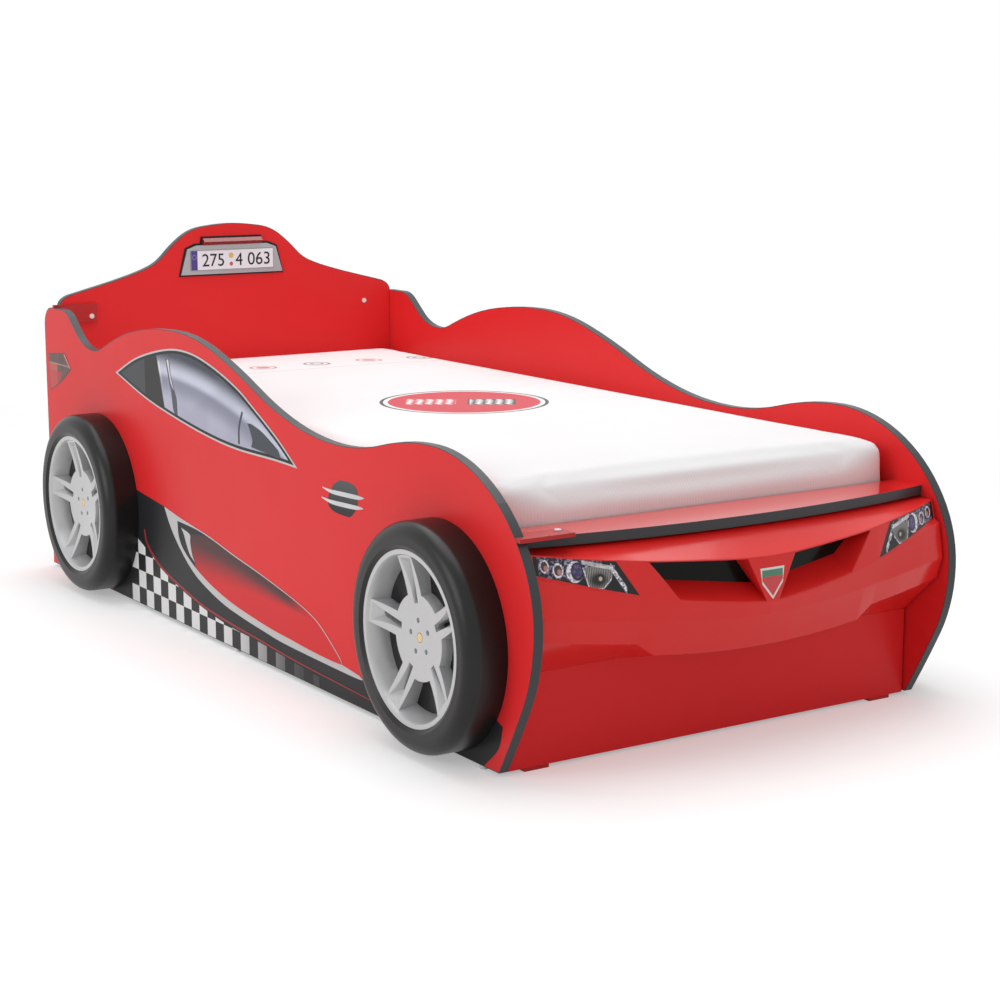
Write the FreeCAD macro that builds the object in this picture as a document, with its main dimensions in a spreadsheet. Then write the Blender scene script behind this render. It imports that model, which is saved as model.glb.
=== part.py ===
import FreeCAD, Part
import math
import os

# Children's bed in the shape of a racing car, with a second bed that rolls out
# of the nose. Millimetres, +Z up, the nose points along -Y, the headboard
# stands at +Y. The origin is on the floor under the middle of the whole bed.

V = FreeCAD.Vector

# ---------------------------------------------------------------- sizes
# name, value, what it measures
SIZES = [
    ("panel_length", 2107, "side panel, rear end to nose"),
    ("bumper_reach", 36, "bumper past the noses of the side panels"),
    ("outer_width", 950, "over the outer faces of the side panels"),
    ("board", 18, "thickness of every board of the body"),
    ("edging", 1.5, "thickness of the grey edging strip"),
    ("floor_gap", 8, "boards above the floor, height of the glides"),
    ("shoulder_height", 631, "side panel at its rear shoulder"),
    ("shoulder_radius", 45, "rounding of the rear shoulder"),
    ("shoulder_run", 65, "level run in front of the rear shoulder"),
    ("dip_back", 296, "dip behind the roof, from the rear end"),
    ("dip_height", 552, "dip behind the roof"),
    ("roof_back", 745, "top of the roof, from the rear end"),
    ("roof_height", 636, "top of the roof"),
    ("waist_set", 659, "lowest point of the flank, behind the nose"),
    ("waist_height", 487, "lowest point of the flank"),
    ("fender_set", 317, "top of the front fender, behind the nose"),
    ("fender_height", 531, "top of the front fender"),
    ("nose_height", 262, "foremost point of the side panel"),
    ("toe_set", 104, "front end of the side panel's foot, behind the nose"),
    ("head_back", 55, "headboard's front face, from the rear end"),
    ("head_height", 818, "headboard at its crown"),
    ("head_shoulder", 660, "headboard at its corners"),
    ("head_corner", 30, "rounding of the headboard's corners"),
    ("hood_set", 150, "hood board's rear edge, behind the nose"),
    ("hood_side_depth", 71, "hood board beside the side panels"),
    ("hood_bow", 50, "hood board's front edge, bowed forward"),
    ("hood_top", 406, "hood board's upper face"),
    ("stretcher_height", 80, "cross board under the hood board"),
    ("ledger_width", 30, "slat ledger across"),
    ("ledger_height", 40, "slat ledger upright"),
    ("ledger_top", 336, "slat ledger's upper face"),
    ("slat_width", 70, "slat along the bed"),
    ("slat_thick", 15, "slat upright"),
    ("slat_count", 14, "slats under the mattress"),
    ("slat_margin", 20, "first and last slat clear of the ledgers' ends"),
    ("slat_gap", 3, "slat ends clear of the side panels"),
    ("mattress_width", 900, "mattress across"),
    ("mattress_edge", 126, "mattress at its long edges"),
    ("mattress_crown", 10, "mattress middle above its edges"),
    ("mattress_tuck", 12, "mattress drawn in at its foot and ends"),
    ("mattress_shoulder", 18, "mattress drawn in at its top edges"),
    ("mattress_round", 24, "rounding of the mattress's ends"),
    ("mattress_gap", 4, "mattress clear of headboard and hood"),
    ("soft_gap", 0.3, "mattress above the slats"),
    ("wheel_height", 205, "wheel centre above the boards' foot"),
    ("front_wheel_set", 280, "front wheel centre, behind the nose"),
    ("rear_wheel_back", 325, "rear wheel centre, from the rear end"),
    ("tyre_radius", 204, "tyre"),
    ("tyre_depth", 76, "tyre's fullest sidewall off the panel"),
    ("tyre_wall", 4, "wall of the moulded tyre"),
    ("tyre_shoulder", 26, "rounding of the tyre's shoulder"),
    ("rim_radius", 156, "rim over its lip"),
    ("rim_face", 71, "rim's lip off the panel"),
    ("rim_lip", 8, "width of the rim's lip"),
    ("rim_floor", 30, "back of the rim off the panel"),
    ("hub_face", 48, "hub off the panel"),
    ("hub_radius", 42, "flat hub of the rim"),
    ("spoke_count", 5, "double spokes"),
    ("spoke_width", 44, "double spoke across"),
    ("spoke_phase", 9, "first spoke behind the upright, degrees"),
    ("window_start", 74, "window between two spokes, from the wheel centre"),
    ("window_draft", 12, "window drawn in from front to back"),
    ("slot_width", 11, "slot in a double spoke"),
    ("slot_start", 60, "slot's inner end, from the wheel centre"),
    ("slot_end", 126, "slot's outer end, from the wheel centre"),
    ("flare_start", 24, "groove over the slot, across its inner end"),
    ("flare_end", 44, "groove over the slot, across its outer end"),
    ("flare_floor", 45, "groove's floor off the panel"),
    ("rim_step", 6, "dish behind the rim's lip"),
    ("rim_land", 1, "windows and grooves short of the rim's lip"),
    ("lug_circle", 30, "lug recesses from the wheel centre"),
    ("lug_radius", 5, "lug recess"),
    ("screw_radius", 4, "wheel screw"),
    ("screw_head", 8, "wheel screw's head radius"),
    ("screw_gap", 0.3, "wheel screw in its holes"),
    ("seat_gap", 1, "wheel screw's head in its seat"),
    ("nut_flange", 3, "wheel nut's flange on the inner face"),
    ("nut_radius", 11, "wheel nut's flange radius"),
    ("hook_thick", 7, "red corner hook"),
    ("hook_reach", 92, "corner hook from the side panel inwards"),
    ("hook_width", 45, "corner hook across"),
    ("hook_over", 38, "front hook past the hood board's front corner"),
    ("cap_radius", 6, "screw cap"),
    ("cap_rise", 2, "screw cap's dome"),
    ("cap_set", 14, "screw cap from the hook's end and edge"),
    ("glide_radius", 8, "glide under a side panel"),
    ("glide_set", 60, "end glides from the ends of the panel's foot"),
    ("plate_width", 228, "number plate across"),
    ("plate_height", 50, "number plate upright"),
    ("plate_drop", 114, "number plate's lower edge below the crown"),
    ("plate_thick", 2, "number plate"),
    ("frame_rim", 12, "plate frame above the plate"),
    ("frame_sill", 10, "plate frame below the plate"),
    ("frame_foot", 280, "plate frame across its foot"),
    ("frame_shoulder", 244, "plate frame across its shoulders"),
    ("frame_top", 194, "plate frame across its top"),
    ("frame_thick", 5, "plate frame"),
    ("lamp_width", 160, "plate lamp across"),
    ("lamp_height", 17, "plate lamp upright"),
    ("lamp_depth", 16, "plate lamp off the headboard"),
    ("dowel_radius", 4, "wooden dowel"),
    ("dowel_half", 14, "wooden dowel in each board"),
    ("head_dowels", 3, "dowels at each end of the headboard"),
    ("dowel_low", 90, "lowest dowel of the headboard off the floor"),
    ("dowel_pitch", 200, "step between the headboard's dowels"),
    ("cross_dowel", 20, "cross board's dowels from its long edges"),
    ("hood_dowel", 42, "hood board's dowel from its rear edge"),
    ("side_gap", 4, "rolling bed's front clear of each panel"),
    ("front_gap", 5, "rolling bed's front clear of the hood"),
    ("front_set", 108, "rolling bed's front face, behind the nose"),
    ("front_foot", 6, "rolling bed's front board off the floor"),
    ("foot_width", 50, "foot under the front board"),
    ("foot_inset", 33, "foot from the front board's end"),
    ("shell", 4, "wall of the moulded bumper"),
    ("lip_depth", 139, "bumper's lip at the middle"),
    ("lip_sweep", 77, "bumper's lip drawn back at the ends"),
    ("lip_height", 344, "bumper's lip at the middle"),
    ("lip_rise", 40, "bumper's lip raised at the ends"),
    ("belt_sweep", 61, "bumper's crease drawn back at the ends"),
    ("belt_height", 263, "bumper's crease at the middle"),
    ("belt_rise", 81, "bumper's crease raised at the ends"),
    ("crease_land", 1, "upright land along the bumper's crease"),
    ("ledge_rise", 5, "ledge under a headlight raised at its end"),
    ("cheek_belly", 3, "bumper's lower face bulging at the middle"),
    ("cheek_bulge", 10, "bumper's lower face bulging more at the ends"),
    ("chin_depth", 110, "bumper's chin at the middle"),
    ("chin_sweep", 28, "bumper's lower edge drawn back at the ends"),
    ("chin_height", 178, "bumper's chin at the middle"),
    ("chin_rise", 15, "bumper's chin raised towards its sloping ends"),
    ("jaw_height", 217, "bumper's lower edge beside the chin"),
    ("jaw_rise", 23, "bumper's lower edge raised at the ends"),
    ("chin_half", 230, "half the width of the chin"),
    ("chin_slant", 36, "sloping end of the chin, along the bumper"),
    ("throat_height", 163, "bumper's underside at the front board"),
    ("cover_lap", 8, "bumper's level top ends behind the hood's edge"),
    ("mouth_depth", 43, "grille recess behind the bumper's face"),
    ("mouth_inner", 53, "grille recess, inner end at the lip"),
    ("mouth_outer", 249, "grille recess, outer end at the lip"),
    ("mouth_inner_foot", 14, "grille recess, inner end at the crease"),
    ("mouth_outer_foot", 193, "grille recess, outer end at the crease"),
    ("mouth_rise", 26, "floor of the grille recess, front to back"),
    ("mouth_land", 2, "bumper's face below the grille recess"),
    ("lip_land", 2, "bumper's face above recesses and headlights"),
    ("grille_thick", 2, "dark grille panel"),
    ("lamp_inset", 2.5, "headlight let into the bumper"),
    ("lamp_inner", 308, "headlight, inner end at the lip"),
    ("lamp_inner_foot", 270, "headlight, inner end at its foot"),
    ("lamp_outer", 449, "headlight, outer end"),
    ("lamp_shelf", 12, "ledge between headlight and crease at the ends"),
    ("badge_width", 54, "badge across its top"),
    ("badge_taper", 4, "badge narrower at its lower shoulders, each side"),
    ("badge_height", 56, "badge upright"),
    ("badge_drop", 20, "badge below the bumper's lip"),
    ("badge_thick", 3, "badge"),
    ("boss_radius", 7, "bumper's screw boss"),
    ("boss_bore", 2.5, "screw and bore of a boss"),
    ("boss_inner", 140, "inner bosses from the middle"),
    ("boss_low", 224, "inner bosses above the boards' foot"),
    ("boss_outer", 331, "outer bosses from the middle"),
    ("boss_high", 282, "outer bosses above the boards' foot"),
    ("screw_short", 2, "bumper screws end before the bores"),
    ("tray_clear", 88, "rolling bed's rear end before the headboard"),
    ("tray_inset", 13, "rolling bed's sides behind the front's ends"),
    ("tray_floor", 58, "rolling bed's base off the floor"),
    ("tray_base", 12, "rolling bed's base"),
    ("tray_side", 130, "rolling bed's side boards upright"),
    ("guide_length", 60, "guide block along the bed"),
    ("guide_height", 20, "guide block upright and off the base"),
    ("castor_radius", 25, "castor wheel"),
    ("castor_width", 18, "castor wheel across"),
    ("castor_gap", 1, "castor wheel clear of its fork"),
    ("castor_inset", 40, "castor from the edges of the base"),
    ("fork_cheek", 3, "cheek of a castor fork"),
    ("axle_radius", 3, "castor axle"),
    ("axle_gap", 0.08, "castor wheel on its axle"),
]

doc = FreeCAD.newDocument("CarBed")
sheet = doc.addObject("Spreadsheet::Sheet", "Sizes")
for row, (alias, value, note) in enumerate(SIZES, 1):
    sheet.set(f"A{row}", note)
    sheet.set(f"B{row}", str(value))
    sheet.setAlias(f"B{row}", alias)
doc.recompute()


def size(alias):
    return float(sheet.get(alias))


# Places that follow from the sizes, as numbers for outlines. The same sums are
# written as expressions where a placement is bound to the sheet.
NOSE = (size("bumper_reach") - size("panel_length")) / 2
INNER = size("outer_width") / 2 - size("board")
FOOT = size("floor_gap")
PANEL_L = size("panel_length")
FRONT = NOSE + size("front_set")
BETWEEN = PANEL_L - size("hood_set") - size("head_back")
FRONT_HALF = INNER - size("side_gap")
HOOD_UNDER = FOOT + size("hood_top") - size("board")
FRONT_TOP = HOOD_UNDER - size("front_gap")

REAR_X = "(Sizes.panel_length + Sizes.bumper_reach) / 2"
NOSE_X = "(Sizes.bumper_reach - Sizes.panel_length) / 2"
INNER_X = "(Sizes.outer_width / 2 - Sizes.board)"
HEAD_X = f"({REAR_X} - Sizes.head_back)"
HOOD_REAR_X = f"({NOSE_X} + Sizes.hood_set)"
FRONT_X = f"({NOSE_X} + Sizes.front_set)"
HOOD_UNDER_X = "(Sizes.floor_gap + Sizes.hood_top - Sizes.board)"
FRONT_TOP_X = f"({HOOD_UNDER_X} - Sizes.front_gap)"
FRONT_HALF_X = f"({INNER_X} - Sizes.side_gap)"

SIDES = (("left", -1), ("right", 1))
DOWN = -90  # heading of an outline that runs straight down, in degrees
FLATTEST = 0.05  # an arc that bulges less than this is drawn straight
sub_parts = []


def keep(obj, label):
    """Give a finished sub-part its name and put it on the list."""
    obj.Label = label
    sub_parts.append(obj)
    return obj


def place(obj, x="0", y="0", z="0"):
    """Bind an object's place to the sheet."""
    for axis, formula in zip("xyz", (x, y, z)):
        obj.setExpression(f"Placement.Base.{axis}", formula)
    return obj


def box(name, length, width, height, x, y, z):
    """A board with its low corner at x, y, z; all six are formulas."""
    obj = doc.addObject("Part::Box", name)
    obj.setExpression("Length", length)
    obj.setExpression("Width", width)
    obj.setExpression("Height", height)
    return place(obj, x, y, z)


def rod(name, radius, length, x, y, z, axis):
    """A cylinder that starts at x, y, z and runs along an axis."""
    obj = doc.addObject("Part::Cylinder", name)
    obj.setExpression("Radius", radius)
    obj.setExpression("Height", length)
    turn = FreeCAD.Rotation(V(0, 0, 1), axis)
    obj.Placement = FreeCAD.Placement(V(), turn)
    return place(obj, x, y, z)


def group(name, members):
    """Identical loose pieces that share one node."""
    obj = doc.addObject("Part::Compound", name)
    obj.Links = members
    return obj


def cut(name, base, tools):
    """One body less a few others."""
    tool = tools[0]
    if len(tools) > 1:
        tool = doc.addObject("Part::MultiFuse", name + "Tools")
        tool.Shapes = tools
    obj = doc.addObject("Part::Cut", name)
    obj.Base = base
    obj.Tool = tool
    return obj


def body_of(name):
    return doc.addObject("PartDesign::Body", name)


def sketch_on(body, name, role, edges, lift=0):
    """A sketch on one of a body's own origin planes, lifted off it."""
    sketch = body.newObject("Sketcher::SketchObject", name)
    plane = [f for f in body.Origin.OriginFeatures if f.Role == role][0]
    sketch.AttachmentSupport = [(plane, "")]
    sketch.MapMode = "FlatFace"
    sketch.AttachmentOffset = FreeCAD.Placement(V(0, 0, lift), FreeCAD.Rotation())
    for edge in edges:
        sketch.addGeometry(edge, False)
    return sketch


def pad(body, name, sketch, length, backwards=False):
    feature = body.newObject("PartDesign::Pad", name)
    feature.Profile = sketch
    feature.setExpression("Length", length)
    feature.Reversed = backwards
    return feature


def circle(x, y, radius):
    return Part.Circle(V(x, y, 0), V(0, 0, 1), radius)


def closed(points):
    """Straight edges round a list of flat points."""
    flat = [V(x, y, 0) for x, y in points]
    return [Part.LineSegment(a, b) for a, b in zip(flat, flat[1:] + flat[:1])]


def arc_to(start, heading, end):
    """The arc that leaves start along a heading; straight if it is too flat."""
    chord = end - start
    lean = heading - math.atan2(chord.y, chord.x)
    lean = math.atan2(math.sin(lean), math.cos(lean))
    bulge = V(-chord.y, chord.x, 0) * (math.tan(lean / 2) / 2)
    if bulge.Length < FLATTEST:
        return Part.LineSegment(start, end)
    return Part.Arc(start, (start + end) * 0.5 + bulge, end)


def two_arcs(start, heading, end, last_heading):
    """Two tangent arcs from one point and heading to another."""
    out = V(math.cos(heading), math.sin(heading), 0)
    back = V(math.cos(last_heading), math.sin(last_heading), 0)
    span = end - start
    ahead = span.dot(out + back)
    turn = 2 * (1 - out.dot(back))
    if turn < 1e-9:
        reach = span.dot(span) / (2 * ahead)
    else:
        reach = (math.sqrt(ahead ** 2 + turn * span.dot(span)) - ahead) / turn
    joint = (start + end + (out - back) * reach) * 0.5
    chord = joint - start
    middle = 2 * math.atan2(chord.y, chord.x) - heading
    return [arc_to(start, heading, joint), arc_to(joint, middle, end)]


def flowing(stations):
    """Tangent arcs through stations (x, y, heading in degrees)."""
    edges = []
    for (x, y, turn), (x2, y2, turn2) in zip(stations, stations[1:]):
        edges += two_arcs(V(x, y, 0), math.radians(turn), V(x2, y2, 0), math.radians(turn2))
    return edges


def prism(name, edges, turn, x, y, z, direction, length):
    """A flat outline, turned and placed, and pushed along a direction."""
    outline = doc.addObject("Sketcher::SketchObject", name + "Outline")
    for edge in edges:
        outline.addGeometry(edge, False)
    outline.Placement = FreeCAD.Placement(V(), turn)
    place(outline, x, y, z)
    return outline, push(name, outline, direction, length)


def push(name, outline, direction, length):
    """A closed outline pushed along a direction into a solid."""
    solid = doc.addObject("Part::Extrusion", name)
    solid.Base = outline
    solid.DirMode = "Custom"
    solid.Dir = direction
    solid.setExpression("LengthFwd", length)
    solid.Solid = True
    return solid


def edged_board(name, edges, turn, x, y, z, direction):
    """A board with an edging strip all round: board, strip and the whole."""
    outline, whole = prism(name + "Whole", edges, turn, x, y, z, direction, "Sizes.board")
    core = doc.addObject("Part::Offset2D", name + "Core")
    core.Source = outline
    core.Join = "Intersection"
    core.setExpression("Value", "-Sizes.edging")
    board = push(name + "Board", core, direction, "Sizes.board")
    strip = cut(name + "Strip", whole, [board])
    return board, strip, whole


# Turns of flat outlines: (s, z) of the flank, seen from the left of the bed,
# and (x, z) of the headboard, seen from the nose.
FLANK = FreeCAD.Rotation(V(0, -1, 0), V(0, 0, 1), V(-1, 0, 0), "XYZ")
FACE = FreeCAD.Rotation(V(1, 0, 0), V(0, 0, 1), V(0, -1, 0), "XYZ")
FLAT = FreeCAD.Rotation()


# ------------------------------------------------------- dowels and bolts
def dowel_places():
    """Where wooden dowels join the cross boards to a side panel: y and z."""
    head_y = f"{HEAD_X} + Sizes.board / 2"
    steps = range(int(size("head_dowels")))
    places = [(head_y, f"Sizes.dowel_low + {step} * Sizes.dowel_pitch") for step in steps]
    cross_y = f"{HOOD_REAR_X} - Sizes.board / 2"
    cross_low = f"{HOOD_UNDER_X} - Sizes.stretcher_height + Sizes.cross_dowel"
    places += [(cross_y, f"{HOOD_UNDER_X} - Sizes.cross_dowel"), (cross_y, cross_low)]
    places.append((f"{HOOD_REAR_X} - Sizes.hood_dowel", f"{HOOD_UNDER_X} + Sizes.board / 2"))
    return places


def dowels(name):
    """One set of dowels on each side, from inside the panel into the board."""
    made = []
    for side, sign in SIDES:
        start = f"{sign} * {INNER_X} - Sizes.dowel_half"
        for number, (y, z) in enumerate(dowel_places()):
            name_here = f"{name}{side}{number}"
            peg = rod(name_here, "Sizes.dowel_radius", "2 * Sizes.dowel_half", start, y, z, V(1, 0, 0))
            made.append(peg)
    return made


DOWELS = dowels("Dowel")
keep(group("Dowels", DOWELS), "wood_dowels")


def wheel_places():
    """Name, sign of the side and place along the bed of each wheel."""
    front = f"{NOSE_X} + Sizes.front_wheel_set"
    rear = f"{REAR_X} - Sizes.rear_wheel_back"
    return [
        (f"{end}_{side}", sign, y)
        for end, y in (("front", front), ("rear", rear))
        for side, sign in SIDES
    ]


def wheel_bores():
    """Through holes for the wheel screws in both side panels."""
    made = []
    for name, sign, y in wheel_places():
        x = f"{sign} * ({INNER_X} + Sizes.board / 2) - Sizes.board"
        z = "Sizes.floor_gap + Sizes.wheel_height"
        radius = "Sizes.screw_radius + Sizes.screw_gap"
        made.append(rod("Bore_" + name, radius, "2 * Sizes.board", x, y, z, V(1, 0, 0)))
    return made


BORES = wheel_bores()


# --------------------------------------------------------- side panels
def blend(start, end, across, up, heading):
    """A station between two others, at a share of the way along and up."""
    x = start[0] + (end[0] - start[0]) * across
    y = start[1] + (end[1] - start[1]) * up
    return (x, y, heading)


def flank_outline():
    """The side panel: roof, waist, fender and nose, from rear to front."""
    top = size("shoulder_height")
    corner = size("shoulder_radius")
    shoulder = (corner + size("shoulder_run"), top, 0)
    dip = (size("dip_back"), size("dip_height"), 0)
    roof = (size("roof_back"), size("roof_height"), 0)
    waist = (PANEL_L - size("waist_set"), size("waist_height"), 0)
    fender = (PANEL_L - size("fender_set"), size("fender_height"), 0)
    nose = (PANEL_L, size("nose_height"), DOWN)
    toe = (PANEL_L - size("toe_set"), 0, DOWN - 31)
    stations = [
        shoulder,
        blend(shoulder, dip, 0.48, 0.61, -38),
        dip,
        blend(dip, roof, 0.23, 0.345, 20),
        roof,
        blend(roof, waist, 0.52, 0.557, -21),
        waist,
        fender,
        blend(fender, nose, 0.66, 0.256, -37),
        nose,
        toe,
    ]
    edges = [Part.LineSegment(V(0, 0, 0), V(0, top - corner, 0))]
    edges += two_arcs(V(0, top - corner, 0), math.pi / 2, V(corner, top, 0), 0)
    edges.append(Part.LineSegment(V(corner, top, 0), V(*shoulder[:2], 0)))
    edges += flowing(stations)
    edges.append(Part.LineSegment(V(*toe[:2], 0), V(0, 0, 0)))
    return edges


def side_panels():
    """Both side panels with their edging; returns the left one's full form."""
    wholes = {}
    for side, sign in SIDES:
        base = INNER_X if sign < 0 else f"({INNER_X} + Sizes.board)"
        x = f"{sign} * {base}"
        name = "Panel" + side
        outline = flank_outline()
        leftwards = V(-1, 0, 0)
        board, strip, whole = edged_board(name, outline, FLANK, x, REAR_X, "Sizes.floor_gap", leftwards)
        drilled = cut(name + "Drilled", board, [group(name + "Holes", DOWELS + BORES)])
        keep(drilled, "side_panel_" + side)
        keep(strip, "side_edging_" + side)
        wholes[side] = whole
    return wholes


WHOLE_PANELS = side_panels()


# ------------------------------------------------------------ headboard
def headboard_outline():
    """The headboard's wavy crown, from its left foot over to its right."""
    half = INNER
    crown = size("head_height")
    edge = size("head_shoulder")
    corner = size("head_corner")
    rise = crown - edge
    right = [
        (0, crown, 0),
        (0.17 * half, crown - 0.04 * rise, -8),
        (0.40 * half, crown - 0.46 * rise, -47),
        (0.58 * half, crown - 0.73 * rise, -17),
        (half - corner, edge, -14),
        (half, edge - corner, DOWN),
    ]
    left = [(-x, y, -heading) for x, y, heading in reversed(right)]
    foot = [V(half, edge - corner, 0), V(half, 0, 0), V(-half, 0, 0), V(-half, edge - corner, 0)]
    edges = flowing(left[:-1] + right)
    edges += [Part.LineSegment(a, b) for a, b in zip(foot, foot[1:])]
    return edges


def headboard():
    rear_face = f"{HEAD_X} + Sizes.board"
    outline = headboard_outline()
    forward = V(0, -1, 0)
    board, strip = edged_board("Head", outline, FACE, "0", rear_face, "Sizes.floor_gap", forward)[:2]
    pegs = group("HeadHoles", DOWELS)
    keep(cut("HeadDrilled", board, [pegs]), "headboard")
    keep(cut("HeadStripDrilled", strip, [pegs]), "headboard_edging")


headboard()


# ------------------------------------------------------------- hood board
def hood_front(x):
    """Distance of the hood board's bowed front edge from its rear edge."""
    share = x / INNER
    return size("hood_side_depth") + size("hood_bow") * (1 - share * share)


def hood_outline(shrink):
    """The hood board from above, with its front edge drawn back a little."""
    side = -size("hood_side_depth") + shrink
    middle = V(0, -hood_front(0) + shrink, 0)
    left = V(-INNER, side, 0)
    right = V(INNER, side, 0)
    edges = [Part.Arc(left, middle, right)]
    edges += [
        Part.LineSegment(right, V(INNER, 0, 0)),
        Part.LineSegment(V(INNER, 0, 0), V(-INNER, 0, 0)),
        Part.LineSegment(V(-INNER, 0, 0), left),
    ]
    return edges


def hood():
    up = V(0, 0, 1)
    edges = hood_outline(0)
    whole = prism("HoodWhole", edges, FLAT, "0", HOOD_REAR_X, HOOD_UNDER_X, up, "Sizes.board")[1]
    edges = hood_outline(size("edging"))
    board = prism("HoodBoard", edges, FLAT, "0", HOOD_REAR_X, HOOD_UNDER_X, up, "Sizes.board")[1]
    keep(cut("HoodDrilled", board, [group("HoodHoles", DOWELS)]), "hood_board")
    keep(cut("HoodStrip", whole, [board]), "hood_edging")


hood()


# -------------------------------------------------- cross board and slats
def deck():
    """Cross board under the hood, and the ledgers and slats that carry the mattress."""
    y = f"{HOOD_REAR_X} - Sizes.board"
    z = f"{HOOD_UNDER_X} - Sizes.stretcher_height"
    across = f"2 * {INNER_X}"
    cross = box("Stretcher", across, "Sizes.board", "Sizes.stretcher_height", f"-{INNER_X}", y, z)
    keep(cut("StretcherDrilled", cross, [group("StretcherHoles", DOWELS)]), "front_stretcher")
    run = f"{HEAD_X} - {HOOD_REAR_X}"
    foot = "Sizes.floor_gap + Sizes.ledger_top - Sizes.ledger_height"
    for side, sign in SIDES:
        x = f"-{INNER_X}" if sign < 0 else f"{INNER_X} - Sizes.ledger_width"
        wide, tall = "Sizes.ledger_width", "Sizes.ledger_height"
        ledger = box("Ledger" + side, wide, run, tall, x, HOOD_REAR_X, foot)
        keep(ledger, "slat_ledger_" + side)
    slats = []
    count = int(size("slat_count"))
    pitch = f"({run} - Sizes.slat_width - 2 * Sizes.slat_margin) / {count - 1}"
    length = f"2 * ({INNER_X} - Sizes.slat_gap)"
    x = f"-{INNER_X} + Sizes.slat_gap"
    top = "Sizes.floor_gap + Sizes.ledger_top"
    for number in range(count):
        y = f"{HOOD_REAR_X} + Sizes.slat_margin + {number} * {pitch}"
        slats.append(box(f"Slat{number}", length, "Sizes.slat_width", "Sizes.slat_thick", x, y, top))
    keep(group("Slats", slats), "bed_slats")


deck()


# --------------------------------------------------------------- mattress
def mattress_section(y, inset):
    """One upright section: flat foot, bulging sides and a crowned top."""
    half = size("mattress_width") / 2 - inset
    top = size("mattress_edge") - inset
    crown = size("mattress_crown")
    foot = V(half - size("mattress_tuck"), y, inset)
    shoulder = V(half - size("mattress_shoulder"), y, top)
    far_foot = V(-foot.x, y, inset)
    far_shoulder = V(-shoulder.x, y, top)
    edges = [
        Part.LineSegment(far_foot, foot),
        Part.Arc(foot, V(half, y, top / 2), shoulder),
        Part.Arc(shoulder, V(0, y, top + crown), far_shoulder),
        Part.Arc(far_shoulder, V(-half, y, top / 2), far_foot),
    ]
    return Part.Wire([edge.toShape() for edge in edges])


def mattress():
    """A crowned mattress whose ends and sides are drawn in."""
    length = BETWEEN - 2 * size("mattress_gap")
    tuck = size("mattress_tuck")
    run = size("mattress_round")
    steps = [math.radians(angle) for angle in (0, 30, 60, 90)]
    ends = [(run * (1 - math.cos(a)), tuck * (1 - math.sin(a))) for a in steps]
    stops = ends + [(length - y, inset) for y, inset in reversed(ends)]
    soft = doc.addObject("Part::Feature", "Mattress")
    soft.Shape = Part.makeLoft([mattress_section(*stop) for stop in stops], True, True)
    start = f"{HOOD_REAR_X} + Sizes.mattress_gap"
    rest = "Sizes.floor_gap + Sizes.ledger_top + Sizes.slat_thick + Sizes.soft_gap"
    place(soft, "0", start, rest)
    keep(soft, "mattress")


mattress()


# ----------------------------------------------------------------- wheels
def tyre_outline():
    """Half section of the moulded tyre: hollow, open to the side panel."""
    outer = size("tyre_radius")
    depth = size("tyre_depth")
    wall = size("tyre_wall")
    round_off = size("tyre_shoulder")
    seat = size("rim_radius") + size("screw_gap")
    floor = size("rim_floor")
    bore = size("screw_radius") + size("screw_gap")
    hub = size("hub_radius") / 2
    bead = size("rim_face")
    shoulder = V(outer, depth - round_off, 0)
    wall_top = V(outer - round_off, depth, 0)
    inner_shoulder = V(outer - wall, depth - round_off, 0)
    inner_top = V(outer - round_off, depth - wall, 0)
    corner = math.radians(45)
    centre = V(outer - round_off, depth - round_off, 0)
    ray = V(math.cos(corner), math.sin(corner), 0)
    edges = [Part.LineSegment(V(outer, 0, 0), shoulder)]
    edges.append(Part.Arc(shoulder, centre + ray * round_off, wall_top))
    rest = [wall_top, V(seat + 2 * wall, depth, 0), V(seat, bead, 0), V(seat, floor, 0)]
    rest += [V(bore, floor, 0), V(bore, 0, 0), V(hub, 0, 0), V(hub, floor - wall, 0)]
    rest.append(V(seat + wall, floor - wall, 0))
    rest += [V(seat + wall, bead - wall, 0), inner_top]
    edges += [Part.LineSegment(a, b) for a, b in zip(rest, rest[1:])]
    edges.append(Part.Arc(inner_top, centre + ray * (round_off - wall), inner_shoulder))
    foot = V(outer - wall, 0, 0)
    edges += [Part.LineSegment(inner_shoulder, foot), Part.LineSegment(foot, V(outer, 0, 0))]
    return edges


def rim_outline():
    """Half section of the dished rim, from its screw hole out to its lip."""
    outer = size("rim_radius")
    face = size("rim_face")
    floor = size("rim_floor")
    lip = outer - size("rim_lip")
    bore = size("screw_radius") + size("screw_gap")
    step = size("rim_step")
    hub = V(size("hub_radius"), size("hub_face"), 0)
    dish_top = V(lip - step / 2, face - step, 0)
    belly = (hub + dish_top + V(step, -step, 0)) * 0.5
    points = [hub, V(bore, hub.y, 0), V(bore, floor, 0), V(outer, floor, 0), V(outer, face, 0)]
    points.append(V(lip, face, 0))
    edges = [Part.LineSegment(a, b) for a, b in zip(points, points[1:])]
    edges += [Part.LineSegment(points[-1], dish_top), Part.Arc(dish_top, belly, hub)]
    return edges


def window_outline(outer, inner, half_spoke):
    """The opening between two double spokes, half a step round from the first."""
    gap = math.pi / size("spoke_count")
    middle = math.pi / 2 + gap

    def at(radius, turn):
        return V(radius * math.cos(turn), radius * math.sin(turn), 0)

    def corner(radius, sign):
        return at(radius, middle + sign * (gap - math.asin(half_spoke / radius)))

    right, left = corner(outer, -1), corner(outer, 1)
    low_left, low_right = corner(inner, 1), corner(inner, -1)
    return [
        Part.Arc(right, at(outer, middle), left),
        Part.LineSegment(left, low_left),
        Part.Arc(low_left, at(inner, middle), low_right),
        Part.LineSegment(low_right, right),
    ]


def flare_outline(low, high, start, end):
    """A groove along the first spoke, wider at its outer end."""
    return closed([(-start / 2, low), (start / 2, low), (end / 2, high), (-end / 2, high)])


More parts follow.
